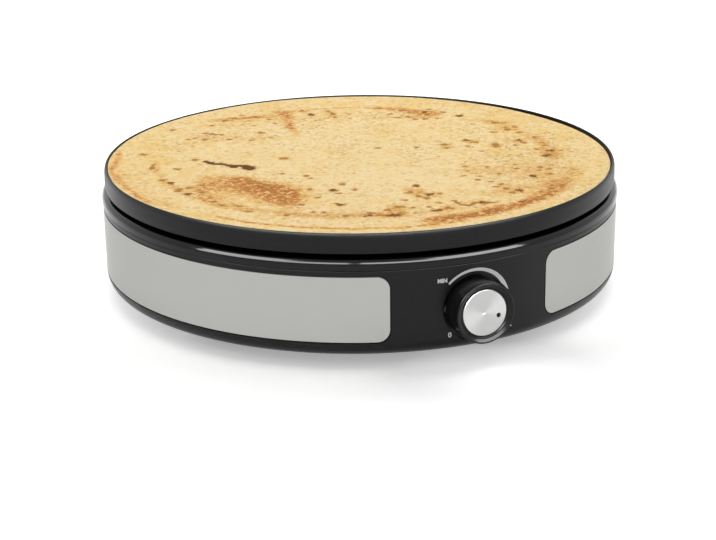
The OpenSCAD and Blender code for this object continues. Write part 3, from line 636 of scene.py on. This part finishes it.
# Browned patches on the face, in mm from its middle: x, y, half length, half width, turn,
# how toasted and how freckled.
PATCHES = [
    (-58, -52, 19, 6, -40, 0.85, 0.2),
    (-52, -62, 24, 13, -42, 0.66, 0.3),
    (-66, -64, 20, 12, -40, 0.42, 0.4),
    (-78, -42, 14, 8, -30, 0.34, 0.5),
    (-40, -72, 13, 6, -80, 0.62, 0.3),
    (-41, -88, 13, 7, -70, 0.55, 0.4),
    (-52, -80, 12, 8, -50, 0.30, 0.3),
    (-86, -52, 12, 8, -50, 0.36, 0.6),
    (-92, -60, 10, 6, -50, 0.45, 0.8),
    (-84, -76, 12, 5, -50, 0.40, 0.7),
    (-70, -93, 14, 4, -25, 0.34, 0.6),
    (-86, 93, 10, 4, 25, 0.61, 0.5),
    (-68, 99, 13, 4, 8, 0.74, 0.6),
    (-48, 104, 13, 5, -62, 0.68, 0.4),
    (-43, 76, 15, 3, -78, 0.70, 0.2),
    (-40, 113, 9, 4, 0, 0.57, 0.5),
    (-18, 107, 9, 3, -75, 0.41, 0.8),
    (28, 113, 18, 4, -24, 0.70, 0.4),
    (43, 103, 9, 8, -50, 0.80, 0.6),
    (28, 95, 14, 4, 0, 0.30, 0.7),
    (87, 79, 9, 5, -40, 0.54, 0.6),
    (94, 64, 8, 5, -30, 0.49, 0.6),
    (67, 34, 5, 4, -60, 0.48, 0.6),
    (54, 25, 3, 5, 0, 0.38, 0.5),
    (83, 25, 3, 6, 0, 0.41, 0.5),
    (98, 34, 6, 5, -50, 0.43, 0.7),
    (112, 28, 16, 4, -80, 0.31, 0.7),
    (114, 6, 10, 6, 90, 0.41, 0.8),
    (104, -34, 14, 12, 60, 0.22, 0.9),
    (76, -30, 18, 14, 0, 0.17, 0.5),
    (88, -68, 14, 9, 20, 0.34, 0.9),
    (109, -58, 10, 8, 60, 0.38, 0.7),
    (31, -70, 4, 10, 12, 0.38, 0.5),
    (40, -78, 8, 5, 0, 0.36, 0.7),
    (66, -95, 12, 4, 4, 0.34, 0.8),
    (46, -104, 8, 6, 30, 0.38, 0.7),
    (20, -106, 6, 11, 0, 0.46, 0.6),
    (10, -113, 12, 4, -6, 0.44, 0.8),
    (50, -121, 13, 5, 14, 0.46, 0.4),
    (72, -108, 14, 5, 32, 0.60, 0.5),
    (-10, -112, 14, 5, 4, 0.22, 0.7),
    (-34, -110, 14, 5, -6, 0.26, 0.6),
    (-93, 52, 14, 8, -20, 0.20, 0.7),
    (-62, 50, 14, 9, 10, 0.14, 0.5),
]

# Browned bows along the edge: radius, from and to angle, half width, how toasted, how freckled.
BOWS = [
    (145.5, 176, 214, 2.2, 0.50, 0.0),
    (140, 190, 222, 4.0, 0.16, 0.1),
    (121, 184, 238, 2.6, 0.30, 0.6),
    (117, 240, 286, 4.0, 0.16, 0.6),
    (138, 238, 291, 1.8, 0.52, 0.1),
    (131, 289, 328, 5.0, 0.76, 0.3),
    (129, 324, 346, 5.0, 0.36, 0.2),
    (121, 80, 104, 1.6, 0.34, 0.2),
    (116, -6, 26, 4.0, 0.12, 0.5),
]

# Places where the face is freckled or yellower without being toasted: x, y, half length,
# half width, how freckled and how yellow.
TINTS = [
    (5, -45, 45, 28, -0.2, -0.35),
    (0, 40, 60, 40, 0.1, -0.10),
    (-15, -70, 22, 26, 0.25, 0.0),
    (110, 90, 40, 40, 0.0, 0.30),
    (-110, -100, 45, 40, 0.0, 0.30),
    (-125, 20, 30, 50, 0.1, 0.30),
    (20, 130, 90, 12, 0.0, 0.30),
    (128, -40, 16, 60, 0.1, 0.30),
    (-60, 85, 50, 20, 0.25, 0.1),
    (10, 100, 60, 18, 0.2, 0.1),
    (100, 30, 28, 50, 0.35, 0.1),
    (95, -40, 30, 40, 0.3, 0.1),
]

# Brown spots and, after them, dark ones: x, y and radius.
SPOTS = [
    (-80, 97, 1.4), (-86, 91, 1.6), (-66, 100, 1.8), (-75, 104, 1.2), (-70, 90, 1.1),
    (-57, 93, 1.2), (-48, 112, 1.5), (-37, 115, 1.5), (-20, 112, 1.0), (-17, 105, 1.4),
    (-16, 97, 1.2), (-7, 105, 1.2), (-6, 94, 1.0), (-53, 83, 1.3), (-93, 79, 1.3),
    (-66, 78, 1.3), (-61, 61, 1.6), (-92, 59, 1.5), (-86, 57, 1.2), (-101, 50, 1.5),
    (-105, 47, 1.2), (-95, 46, 1.4), (-88, 43, 1.2), (-80, 46, 1.4), (-55, 49, 1.2),
    (-66, 44, 1.2), (-117, 70, 1.6), (-130, 14, 1.7), (-45, 1, 1.8), (-98, 1, 1.6),
    (14, 118, 1.3), (27, 113, 1.8), (44, 100, 1.6), (45, 113, 1.2), (54, 106, 1.3),
    (20, 103, 1.2), (25, 94, 1.4), (31, 95, 1.4), (36, 90, 1.3), (42, 90, 1.4),
    (50, 90, 1.0), (86, 79, 1.8), (92, 66, 1.5), (93, 61, 1.3), (98, 68, 1.3),
    (83, 56, 1.6), (100, 55, 1.6), (70, 33, 1.8), (65, 24, 1.4), (100, 31, 1.4),
    (82, 27, 2.0), (83, 22, 1.6), (52, 28, 1.7), (53, 21, 1.6), (95, 25, 1.2),
    (108, 43, 1.3), (111, 30, 1.4), (112, 23, 1.3), (121, 12, 1.4), (107, 15, 1.2),
    (73, 12, 1.2), (11, 22, 1.1), (35, 23, 1.2), (-107, -19, 1.4), (-113, -42, 1.6),
    (-103, -60, 1.5), (-97, -58, 1.4), (-103, -64, 1.3), (-90, -52, 1.5), (-85, -49, 1.3),
    (-78, -50, 1.3), (-89, -67, 1.6), (-84, -79, 1.5), (-82, -86, 1.4), (-76, -93, 1.8),
    (-67, -95, 1.5), (-61, -104, 1.3), (-45, -31, 1.2), (-31, -36, 1.3), (-29, -41, 1.2),
    (-29, -65, 1.5), (-10, -54, 1.3), (-3, -65, 1.5), (-12, -72, 1.3), (-23, -80, 1.2),
    (-33, -93, 1.4), (-26, -108, 1.3), (-40, -112, 1.4), (-20, -109, 1.2), (-8, -115, 1.5),
    (106, -24, 1.4), (105, -31, 1.3), (111, -27, 1.2), (110, -38, 1.4), (92, -27, 1.2),
    (92, -18, 1.1), (112, -20, 1.2), (113, -53, 1.4), (81, -36, 1.2), (81, -58, 1.5),
    (83, -67, 1.6), (86, -74, 1.5), (77, -63, 1.2), (103, -74, 1.5), (110, -62, 1.5),
    (60, -40, 1.0), (69, -41, 1.1), (75, -22, 1.1), (62, -20, 1.1), (63, -29, 1.0),
    (68, -48, 1.1), (75, -52, 1.2), (28, -72, 2.0), (45, -75, 1.4), (37, -83, 1.6),
    (33, -80, 1.4), (25, -87, 1.4), (22, -100, 1.8), (29, -101, 1.3), (22, -110, 1.6),
    (15, -105, 1.3), (6, -110, 1.5), (49, -103, 1.5), (44, -93, 1.3), (38, -100, 1.3),
    (30, -112, 1.3), (51, -115, 1.4),
]
DARK_SPOTS = [
    (-31, 104, 1.8), (-18, 108, 1.2), (42, 107, 1.8), (33, 107, 1.3), (64, 97, 1.9),
    (66, 37, 1.9), (97, 36, 1.9), (115, 12, 1.9), (112, 1, 2.2), (-108, -48, 1.6),
    (-96, -70, 1.7), (-15, -66, 1.6), (-11, -94, 2.0), (100, -42, 1.7), (90, -70, 2.0),
    (32, -59, 1.7), (39, -76, 2.1), (18, -115, 2.2), (5, -115, 1.6), (42, -107, 2.2),
    (68, -93, 1.8), (90, -92, 1.6),
]

# Long brown marks: points and a half width.
STREAKS = [
    (((-97, 61), (-91, 59), (-85, 56)), 1.1),
    (((-122, -10), (-122, -18)), 1.2),
    (((-65, -44), (-60, -48), (-52, -54)), 1.6),
    (((52, -90), (56, -97), (60, -99), (64, -94), (68, -93), (77, -93)), 1.2),
    (((9, -115), (18, -114), (24, -113)), 1.2),
]

# A dark crack in the face: its points and half width, and where it gapes.
CRACK = ((-91, -3), (-87, -7), (-80, -9), (-77, -12), (-70, -13), (-66, -14), (-63, -19))
CRACK_WIDTH = 2.0
CRACK_HOLES = [(-74, -14.5, 2.4), (-65, -18, 3.2)]


def wave(x, y, size, seed=0.0):
    """Smooth noise from -1 to 1 at every point, with waves of about a size in mm."""
    return numpy.array([noise.noise(Vector((a / size, b / size, seed))) for a, b in zip(x, y)])


def varied(x, y, level, much, size, seed):
    """A level that varies smoothly over the face."""
    return level + much * wave(x, y, size, seed)


def wandered(x, y, steps):
    """The points, each moved a little to and fro."""
    moved_x, moved_y = x, y
    for much, size, x_seed, y_seed in steps:
        moved_x = moved_x + much * wave(x, y, size, x_seed)
        moved_y = moved_y + much * wave(x, y, size, y_seed)
    return moved_x, moved_y


def blot(x, y, patch):
    """How much of a patch reaches the points, from 0 to 1."""
    px, py, length, width, turn = patch
    c, s = math.cos(math.radians(turn)), math.sin(math.radians(turn))
    u = ((x - px) * c + (y - py) * s) / length
    v = ((y - py) * c - (x - px) * s) / width
    return numpy.exp(-(u * u + v * v))


def bow(radius, angle, path):
    """How much of a bow along the edge reaches the points, from 0 to 1."""
    middle = (path[1] + path[2]) / 2
    off = numpy.abs((angle - middle + 180) % 360 - 180)
    past = numpy.maximum(0, off - (path[2] - path[1]) / 2)
    return numpy.exp(-(((radius - path[0]) / path[3]) ** 2) - (past / BOW_FADE) ** 2)


def spot(x, y, place):
    """1 in the middle of a spot, above a half at its radius, and 0 well past that."""
    px, py, radius = place
    return 1 - numpy.hypot(x - px, y - py) / (SPOT_FADE * radius)


def streak(x, y, points, width):
    """As for a spot, along a path, with a half at its half width."""
    far = numpy.full(len(x), FAR_OFF)
    for (ax, ay), (bx, by) in zip(points, points[1:]):
        dx, dy = bx - ax, by - ay
        t = numpy.clip(((x - ax) * dx + (y - ay) * dy) / (dx * dx + dy * dy), 0, 1)
        far = numpy.minimum(far, numpy.hypot(x - ax - t * dx, y - ay - t * dy))
    return 1 - far / (STREAK_FADE * width)


def highest(fields):
    """The highest of several fields at each point, and never below 0."""
    return numpy.maximum(numpy.max(numpy.array(list(fields)), axis=0), 0)


def paint_crepe(x, y):
    """The values that the crepe's finish reads at every point of its face."""
    wx, wy = wandered(x, y, STAIN_WANDER)
    radius = varied(x, y, numpy.hypot(x, y), *BOW_WANDER)
    angle = numpy.degrees(numpy.arctan2(y, x))
    stains = [(blot(wx, wy, patch[:5]), patch[5], patch[6]) for patch in PATCHES]
    stains += [(bow(radius, angle, path), path[4], path[5]) for path in BOWS]
    plain = numpy.ones(len(x))
    freckle = varied(x, y, *FRECKLE_LEVEL)
    for much, toasted, freckled in stains:
        plain *= 1 - much * toasted
        freckle += much * freckled * STAIN_FRECKLES
    gold = varied(x, y, *GOLD_LEVEL)
    for *place, freckled, yellow in TINTS:
        much = blot(x, y, (*place, 0))
        freckle += much * freckled
        gold += much * yellow
    sx, sy = wandered(x, y, SPOT_WANDER)
    brown = [spot(sx, sy, place) for place in SPOTS]
    brown += [streak(sx, sy, points, width) for points, width in STREAKS]
    crack = [spot(sx, sy, place) for place in CRACK_HOLES]
    crack.append(streak(sx, sy, CRACK, CRACK_WIDTH))
    return {
        "toast": 1 - plain,
        "freckle": numpy.clip(freckle, 0, 1),
        "gold": gold,
        "spot": highest(brown),
        "char": highest(spot(sx, sy, place) for place in DARK_SPOTS),
        "crack": highest(crack),
    }


def disc_point(a, b):
    """A point of a square from -1 to 1, moved to the round disc."""
    if a == 0 and b == 0:
        return 0.0, 0.0
    if abs(a) > abs(b):
        r, turn = a, math.pi / 4 * b / a
    else:
        r, turn = b, math.pi / 2 - math.pi / 4 * a / b
    return r * math.cos(turn), r * math.sin(turn)


def edge_radius(x, y):
    """The crepe's radius in mm towards points of the unit circle: it falls short at the back."""
    angle = numpy.degrees(numpy.arctan2(y, x))
    short = EDGE_SHORT * numpy.exp(-(((angle - EDGE_SHORT_AT) / EDGE_SHORT_SPREAD) ** 2))
    radius = CREPE_EDGE - short - EDGE_DRIFT * (1 + x)
    for much, waves, seed in EDGE_RIPPLES:
        radius += much * wave(waves * x, waves * y, 1, seed)
    return radius


def crepe_height(x, y, painted, from_edge, outwards):
    """The height of the crepe's face in mm, with its waves, its crack and its curled rim."""
    height = numpy.full(len(x), CREPE_THICKNESS)
    for much, size, seed in CREPE_WAVES:
        height += much * wave(x, y, size, seed)
    height += TOAST_SWELL * painted["toast"] - CRACK_SINK * painted["crack"]
    height *= 1 - RIM_THIN * numpy.exp(-((from_edge / RIM_THIN_WIDTH) ** 2))
    turn = math.radians(RIM_CURL_AT)
    facing = outwards[:, 0] * math.cos(turn) + outwards[:, 1] * math.sin(turn)
    curl = RIM_CURL * numpy.exp(-((from_edge / RIM_CURL_WIDTH) ** 2))
    return height + curl * (0.5 + 0.5 * facing)


def make_crepe():
    """The crepe: a thin uneven round sheet that lies inside the plate's lip."""
    start_piece()
    bpy.ops.mesh.primitive_grid_add(x_subdivisions=CREPE_GRID, y_subdivisions=CREPE_GRID, size=2)
    crepe = bpy.context.object
    bpy.ops.object.mode_set(mode="EDIT")
    bpy.ops.mesh.select_all(action="SELECT")
    bpy.ops.mesh.region_to_loop()
    bpy.ops.mesh.extrude_region_move(TRANSFORM_OT_translate={"value": (0, 0, -UNDERSIDE_DROP)})
    bpy.ops.mesh.edge_face_add()
    bpy.ops.object.mode_set(mode="OBJECT")

    vertices = crepe.data.vertices
    below = numpy.array([vertex.co.z < -UNDERSIDE_DROP / 2 for vertex in vertices])
    disc = numpy.array([disc_point(vertex.co.x, vertex.co.y) for vertex in vertices])
    share = numpy.hypot(disc[:, 0], disc[:, 1])
    outwards = disc / numpy.maximum(share, TINY)[:, None]
    edge = edge_radius(outwards[:, 0], outwards[:, 1])
    x, y = (disc * edge[:, None]).T
    painted = paint_crepe(x, y)

    height = crepe_height(x, y, painted, edge * (1 - share), outwards)
    top = crepe_low.z + numpy.maximum(height, CREPE_LEAST) * MM
    z = numpy.where(below, crepe_low.z - CREPE_BELOW, top)
    c, s = math.cos(math.radians(CREPE_TURN)), math.sin(math.radians(CREPE_TURN))
    spun = numpy.column_stack(((x * c - y * s) * MM, (x * s + y * c) * MM + AXIS_Y, z))
    vertices.foreach_set("co", spun.ravel())
    crepe.data.update()
    for name, values in painted.items():
        add_values(crepe, name, values)
    finish_piece(crepe, "crepe_sheet", "crepe", FINISHES["crepe"], 60)
    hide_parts("crepe")


# ---- the stainless panels --------------------------------------------------------

PANEL_SHEET = 0.8 * MM
PANEL_CORNER = 7 * MM
PANEL_CORNER_STEPS = 12
PANEL_EDGE = 0.25 * MM
PANEL_EDGE_STEPS = 3
PANEL_INSET = 0.40 * MM
PANEL_COLUMN = 3 * MM
CONTROL_WIDTH = 95.1 * MM
REAR_WIDTH = 95.1 * MM


def flat_panel(length, height):
    """A flat sheet with round corners, softened edges and columns that it can bend at."""
    start_piece()
    bpy.ops.mesh.primitive_plane_add(size=1)
    sheet = bpy.context.object
    sheet.scale = (length - 2 * PANEL_INSET, height - 2 * PANEL_INSET, 1)
    bpy.ops.object.transform_apply(location=False, rotation=False, scale=True)
    bpy.ops.object.mode_set(mode="EDIT")
    bpy.ops.mesh.select_all(action="SELECT")
    bpy.ops.mesh.bevel(offset=PANEL_CORNER, segments=PANEL_CORNER_STEPS, affect="VERTICES")
    bpy.ops.object.mode_set(mode="OBJECT")
    apply_modifier(sheet, "SOLIDIFY", thickness=PANEL_SHEET, offset=-1)
    select_upward_faces(sheet)
    bpy.ops.object.mode_set(mode="EDIT")
    bpy.ops.mesh.region_to_loop()
    bpy.ops.mesh.bevel(offset=PANEL_EDGE, segments=PANEL_EDGE_STEPS)
    columns = round(length / PANEL_COLUMN)
    for i in range(1, columns):
        bpy.ops.mesh.select_all(action="SELECT")
        at = length * (i / columns - 0.5)
        bpy.ops.mesh.bisect(plane_co=(at, 0, 0), plane_no=(1, 0, 0))
    bpy.ops.object.mode_set(mode="OBJECT")
    return sheet


def bend_panel(sheet, length, side):
    """Keeps the flat sheet's map, and bends it round the housing, on the right or the left."""
    flat = [vertex.co.copy() for vertex in sheet.data.vertices]
    layer = sheet.data.uv_layers.get("UVMap") or sheet.data.uv_layers.new(name="UVMap")
    for loop in sheet.data.loops:
        layer.data[loop.index].uv = flat[loop.vertex_index].xy
    z_middle = (panel_low.z + panel_high.z) / 2
    for vertex, place in zip(sheet.data.vertices, flat):
        along = CONTROL_WIDTH / 2 + length / 2 + place.x
        vertex.co = on_shell(along, z_middle + place.y, place.z)
        vertex.co.x *= side
    if side < 0:
        sheet.data.flip_normals()


def make_panel(name, node, side):
    """A stainless sheet in the housing's recess, from the control zone to the rear."""
    length = math.pi * shell_radius(KNOB_Z) - CONTROL_WIDTH / 2 - REAR_WIDTH / 2
    sheet = flat_panel(length, panel_high.z - panel_low.z)
    bend_panel(sheet, length, side)
    finish_piece(sheet, name, "housing", FINISHES["brushed_panel"], 40)
    apply_modifier(sheet, "WEIGHTED_NORMAL", keep_sharp=True)
    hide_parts(node)


# ---- marks on the dial -------------------------------------------------------------

# Ink is drawn flat, in mm, one thick about its own middle, and then laid on the housing.
INK_PROUD = 0.06 * MM
INK_BASE = -0.05 * MM
INK_THICK = 1.0

# The heat scale: a crescent between two circles about the knob, in mm and degrees.
SCALE_OUTER = (-0.15, 0.2, 21.85)
SCALE_INNER = (-0.9, 0.65, 19.75)
SCALE_FROM = 136.0
SCALE_TIP = 16.0
SCALE_TO = 32.0
SCALE_STEPS = 40

# Words and figures: name, text, where its middle stands from the knob's axis and its height, in mm.
MARKS = [
    ("min", "MIN", -19.2, 17.1, 2.25),
    ("off", "0", -14.9, -14.3, 2.9),
    ("max", "MAX", 19.9, -14.4, 2.2),
]
CAPITAL_SHARE = 0.73
LETTER_WEIGHT = 0.15
LETTER_CURVE_STEPS = 4


def lay_on_housing(piece):
    """Moves a flat piece, drawn in mm about the knob's axis, onto the housing."""
    for vertex in piece.data.vertices:
        flat = vertex.co.copy()
        proud = INK_PROUD if flat.z > 0 else INK_BASE
        vertex.co = on_shell(flat.x * MM, KNOB_Z + flat.y * MM, proud)


def make_scale():
    """The crescent that swells from the low to the high end of the knob's travel."""
    start_piece()
    bpy.ops.mesh.primitive_grid_add(x_subdivisions=SCALE_STEPS, y_subdivisions=1, size=1)
    scale = bpy.context.object
    for vertex in scale.data.vertices:
        outer = vertex.co.y > 0
        cx, cy, radius = SCALE_OUTER if outer else SCALE_INNER
        last = SCALE_TIP if outer else SCALE_TO
        angle = math.radians(SCALE_FROM + (last - SCALE_FROM) * (vertex.co.x + 0.5))
        vertex.co = (cx + radius * math.cos(angle), cy + radius * math.sin(angle), 0)
    scale.data.update()
    apply_modifier(scale, "SOLIDIFY", thickness=INK_THICK, offset=0)
    lay_on_housing(scale)
    point_faces_outwards(scale)
    finish_piece(scale, "dial_scale", "housing", FINISHES["dial_ink"])


def make_mark(name, text, x, y, height):
    """A word or figure beside the knob."""
    start_piece()
    bpy.ops.object.text_add()
    letters = bpy.context.object
    letters.data.body = text
    letters.data.align_x = "CENTER"
    letters.data.align_y = "CENTER"
    letters.data.size = height / CAPITAL_SHARE
    letters.data.extrude = INK_THICK / 2
    letters.data.offset = LETTER_WEIGHT
    letters.data.resolution_u = LETTER_CURVE_STEPS
    bpy.ops.object.convert(target="MESH")
    mark = bpy.context.object
    for vertex in mark.data.vertices:
        vertex.co.x += x
        vertex.co.y += y
    lay_on_housing(mark)
    point_faces_outwards(mark)
    finish_piece(mark, f"dial_{name}", "housing", FINISHES["dial_ink"])


POINTER_TURN = -16.0
POINTER_AT = 8.6 * MM
POINTER_R = 1.3 * MM
POINTER_DEPTH = 0.4 * MM
POINTER_PROUD = 0.04 * MM
POINTER_RIM = 0.25 * MM
POINTER_HOLLOW = 0.08 * MM
POINTER_STEPS = 32


def make_pointer():
    """Black paint that fills the knob's pointer dimple, slightly hollow."""
    angle = math.radians(POINTER_TURN)
    start_piece()
    bpy.ops.mesh.primitive_cylinder_add(
        vertices=POINTER_STEPS, radius=POINTER_R, depth=POINTER_DEPTH
    )
    dot = bpy.context.object
    bpy.ops.object.mode_set(mode="EDIT")
    bpy.ops.mesh.select_all(action="DESELECT")
    bpy.ops.object.mode_set(mode="OBJECT")
    select_upward_faces(dot)
    bpy.ops.object.mode_set(mode="EDIT")
    bpy.ops.mesh.inset(thickness=POINTER_RIM, depth=-POINTER_HOLLOW)
    bpy.ops.object.mode_set(mode="OBJECT")
    middle = Vector(
        (
            POINTER_AT * math.cos(angle),
            CAP_FRONT + POINTER_DEPTH / 2 - POINTER_PROUD,
            KNOB_Z + POINTER_AT * math.sin(angle),
        )
    )
    for vertex in dot.data.vertices:
        flat = vertex.co.copy()
        vertex.co = middle + Vector((flat.x, -flat.z, flat.y))
    point_faces_outwards(dot)
    finish_piece(dot, "pointer_dot", "knob", FINISHES["dot_black"])


# ---- stage ---------------------------------------------------------------------------

CAMERA_DISTANCE = 1192.14 * MM
CAMERA_OVER_CREST = 335.66 * MM
CAMERA_TURN = -23.83
CAMERA_YAW = -0.0763
CAMERA_PITCH = 18.862
CAMERA_ROLL = -0.707
CAMERA_LENS = 104.40
SENSOR_WIDTH = 36.0
CLIP_START = 0.05
CLIP_END = 60


def make_camera():
    """A long lens at the front left, a little above the plate."""
    yaw, pitch, roll = (math.radians(a) for a in (CAMERA_YAW, CAMERA_PITCH, CAMERA_ROLL))
    level = math.cos(pitch)
    ahead = Vector((math.sin(yaw) * level, math.cos(yaw) * level, -math.sin(pitch)))
    right = Vector((math.cos(yaw), -math.sin(yaw), 0))
    up = right.cross(ahead)
    tilted_right = right * math.cos(roll) + up * math.sin(roll)
    tilted_up = up * math.cos(roll) - right * math.sin(roll)
    axes = Matrix((tilted_right, tilted_up, -ahead)).transposed().to_4x4()
    data = bpy.data.cameras.new("camera")
    data.lens = CAMERA_LENS
    data.sensor_width = SENSOR_WIDTH
    data.clip_start = CLIP_START
    data.clip_end = CLIP_END
    camera = bpy.data.objects.new("camera", data)
    bpy.context.scene.collection.objects.link(camera)
    stand = Matrix.Translation((0, AXIS_Y, CREST_Z + CAMERA_OVER_CREST))
    swing = Matrix.Rotation(math.radians(CAMERA_TURN), 4, "Z")
    camera.matrix_world = stand @ swing @ Matrix.Translation((0, -CAMERA_DISTANCE, 0)) @ axes
    bpy.context.scene.camera = camera


def towards(azimuth, elevation, distance):
    """A place seen from the plate at an azimuth, from the camera's own, and an elevation."""
    turn = math.radians(CAMERA_TURN + azimuth)
    rise = math.radians(elevation)
    flat = distance * math.cos(rise)
    height = CREST_Z + distance * math.sin(rise)
    return Vector((flat * math.sin(turn), AXIS_Y - flat * math.cos(turn), height))


def make_lamp(name, direction, size, power, mirrored_only):
    """A soft box that faces the plate, or a card that only glossy surfaces mirror."""
    place = towards(*direction)
    data = bpy.data.lights.new(name, "AREA")
    data.shape = "RECTANGLE"
    data.size, data.size_y = size
    data.energy = power
    lamp = bpy.data.objects.new(name, data)
    lamp.location = place
    lamp.rotation_mode = "QUATERNION"
    aim = Vector((0, AXIS_Y, CREST_Z)) - place
    lamp.rotation_quaternion = aim.to_track_quat("-Z", "Y")
    lamp.visible_diffuse = not mirrored_only
    bpy.context.scene.collection.objects.link(lamp)


WORLD_FILL = 0.5


def seen_directly(tree):
    """1 for rays from the camera, mirrors and glass, and 0 for the rest."""
    path = tree.nodes.new("ShaderNodeLightPath")
    total = path.outputs["Is Camera Ray"]
    for name in ("Is Glossy Ray", "Is Transmission Ray"):
        either = tree.nodes.new("ShaderNodeMath")
        either.operation = "MAXIMUM"
        tree.links.new(total, either.inputs[0])
        tree.links.new(path.outputs[name], either.inputs[1])
        total = either.outputs["Value"]
    return total


def make_world():
    """A white surround that lights the object only softly."""
    world = bpy.data.worlds.new("studio")
    bpy.context.scene.world = world
    world.use_nodes = True
    tree = world.node_tree
    light = tree.nodes["Background"]
    light.inputs["Color"].default_value = (1, 1, 1, 1)
    level = tree.nodes.new("ShaderNodeMapRange")
    level.inputs["To Min"].default_value = WORLD_FILL
    level.inputs["To Max"].default_value = 1.0
    tree.links.new(seen_directly(tree), level.inputs["Value"])
    tree.links.new(level.outputs["Result"], light.inputs["Strength"])


FLOOR_SIZE = 8
FLOOR_COLOUR = (0.9, 0.9, 0.9)

# The floor's own glow lightens the shadow. It falls from the edge of the housing to the open
# floor and rises again far off, in ovals that are wider across than front to back.
GLOW_EDGE = 0.34
GLOW_OPEN = 0.20
GLOW_FAR = 0.60
GLOW_MIRRORED = 0.42
GLOW_OVAL = 0.85
EDGE_SPAN = (142 * MM, 165 * MM)
FAR_SPAN = (190 * MM, 340 * MM)

# It is stronger at the housing's left and right, and in the knob's shade.
GLOW_SIDES = 0.25
SIDES_ACROSS = (68 * MM, 119 * MM)
SIDES_SPAN = (125 * MM, 150 * MM)
GLOW_KNOB = 0.30
KNOB_SHADE_AT = (60 * MM, -158 * MM, 0)
KNOB_SHADE_R = 45 * MM


def floor_glow(paper):
    """How much the floor glows at each of its points."""
    across = paper.add(
        "ShaderNodeMapping",
        {
            "Vector": paper.add("ShaderNodeTexCoord").outputs["Object"],
            "Location": (0, AXIS_Y, 0),
            "Rotation": (0, 0, math.radians(CAMERA_TURN)),
            "Scale": (1 / GLOW_OVAL, 1, 1),
        },
        vector_type="TEXTURE",
    ).outputs["Vector"]
    away = paper.vector_maths("LENGTH", across, wanted="Value")
    beside = paper.remap(away, *EDGE_SPAN, GLOW_EDGE, GLOW_OPEN)
    beyond = paper.remap(away, *FAR_SPAN, GLOW_OPEN, GLOW_FAR)
    sideways = paper.add("ShaderNodeSeparateXYZ", {"Vector": across}).outputs["X"]
    at_sides = paper.remap(paper.maths("ABSOLUTE", sideways), *SIDES_ACROSS, 0, GLOW_SIDES)
    at_sides = paper.maths("MULTIPLY", at_sides, paper.remap(away, *SIDES_SPAN, 1, 0))
    from_shade = paper.vector_maths("DISTANCE", across, KNOB_SHADE_AT, wanted="Value")
    at_knob = paper.remap(from_shade, 0, KNOB_SHADE_R, GLOW_KNOB, 0)
    glow = paper.maths("MAXIMUM", beside, beyond)
    return paper.maths("ADD", paper.maths("ADD", glow, at_sides), at_knob)


def make_floor():
    """A pale floor that fades into the surround and keeps the object's shadow."""
    start_piece()
    bpy.ops.mesh.primitive_plane_add(size=FLOOR_SIZE, location=(0, 0, 0))
    floor = bpy.context.object
    floor.name = "floor"
    paper = Finish("floor_paper", FLOOR_COLOUR, 0.9, specular=0.1)
    paper.shader.inputs["Emission Color"].default_value = (1, 1, 1, 1)
    by_camera = paper.add("ShaderNodeLightPath").outputs["Is Camera Ray"]
    mirrored = paper.maths("SUBTRACT", seen_directly(paper.tree), by_camera)
    direct = paper.maths("MULTIPLY", by_camera, floor_glow(paper))
    total = paper.maths("ADD", direct, paper.maths("MULTIPLY", mirrored, GLOW_MIRRORED))
    paper.set("Emission Strength", total)
    floor.data.materials.append(paper.material)


# A wide soft box above and behind, and two cards at the front that only the gloss mirrors:
# name, azimuth, elevation and distance from the plate, size, power, and if only mirrored.
LAMPS = [
    ("lamp_top", (180, 62, 2.5), (2.65, 2.0), 44.5, False),
    ("card_left", (-41, 36, 1.1), (1.25, 0.55), 36.0, True),
    ("card_right", (38.5, 36, 1.1), (1.35, 0.55), 42.0, True),
]


# ---- all of it -------------------------------------------------------------------------

make_camera()
dress_solids()
make_crepe()
make_panel("stainless_right", "right_panel", 1)
make_panel("stainless_left", "left_panel", -1)
make_scale()
for mark in MARKS:
    make_mark(*mark)
make_pointer()
make_floor()
make_world()
for lamp in LAMPS:
    make_lamp(*lamp)
bpy.context.scene.view_settings.view_transform = "Standard"
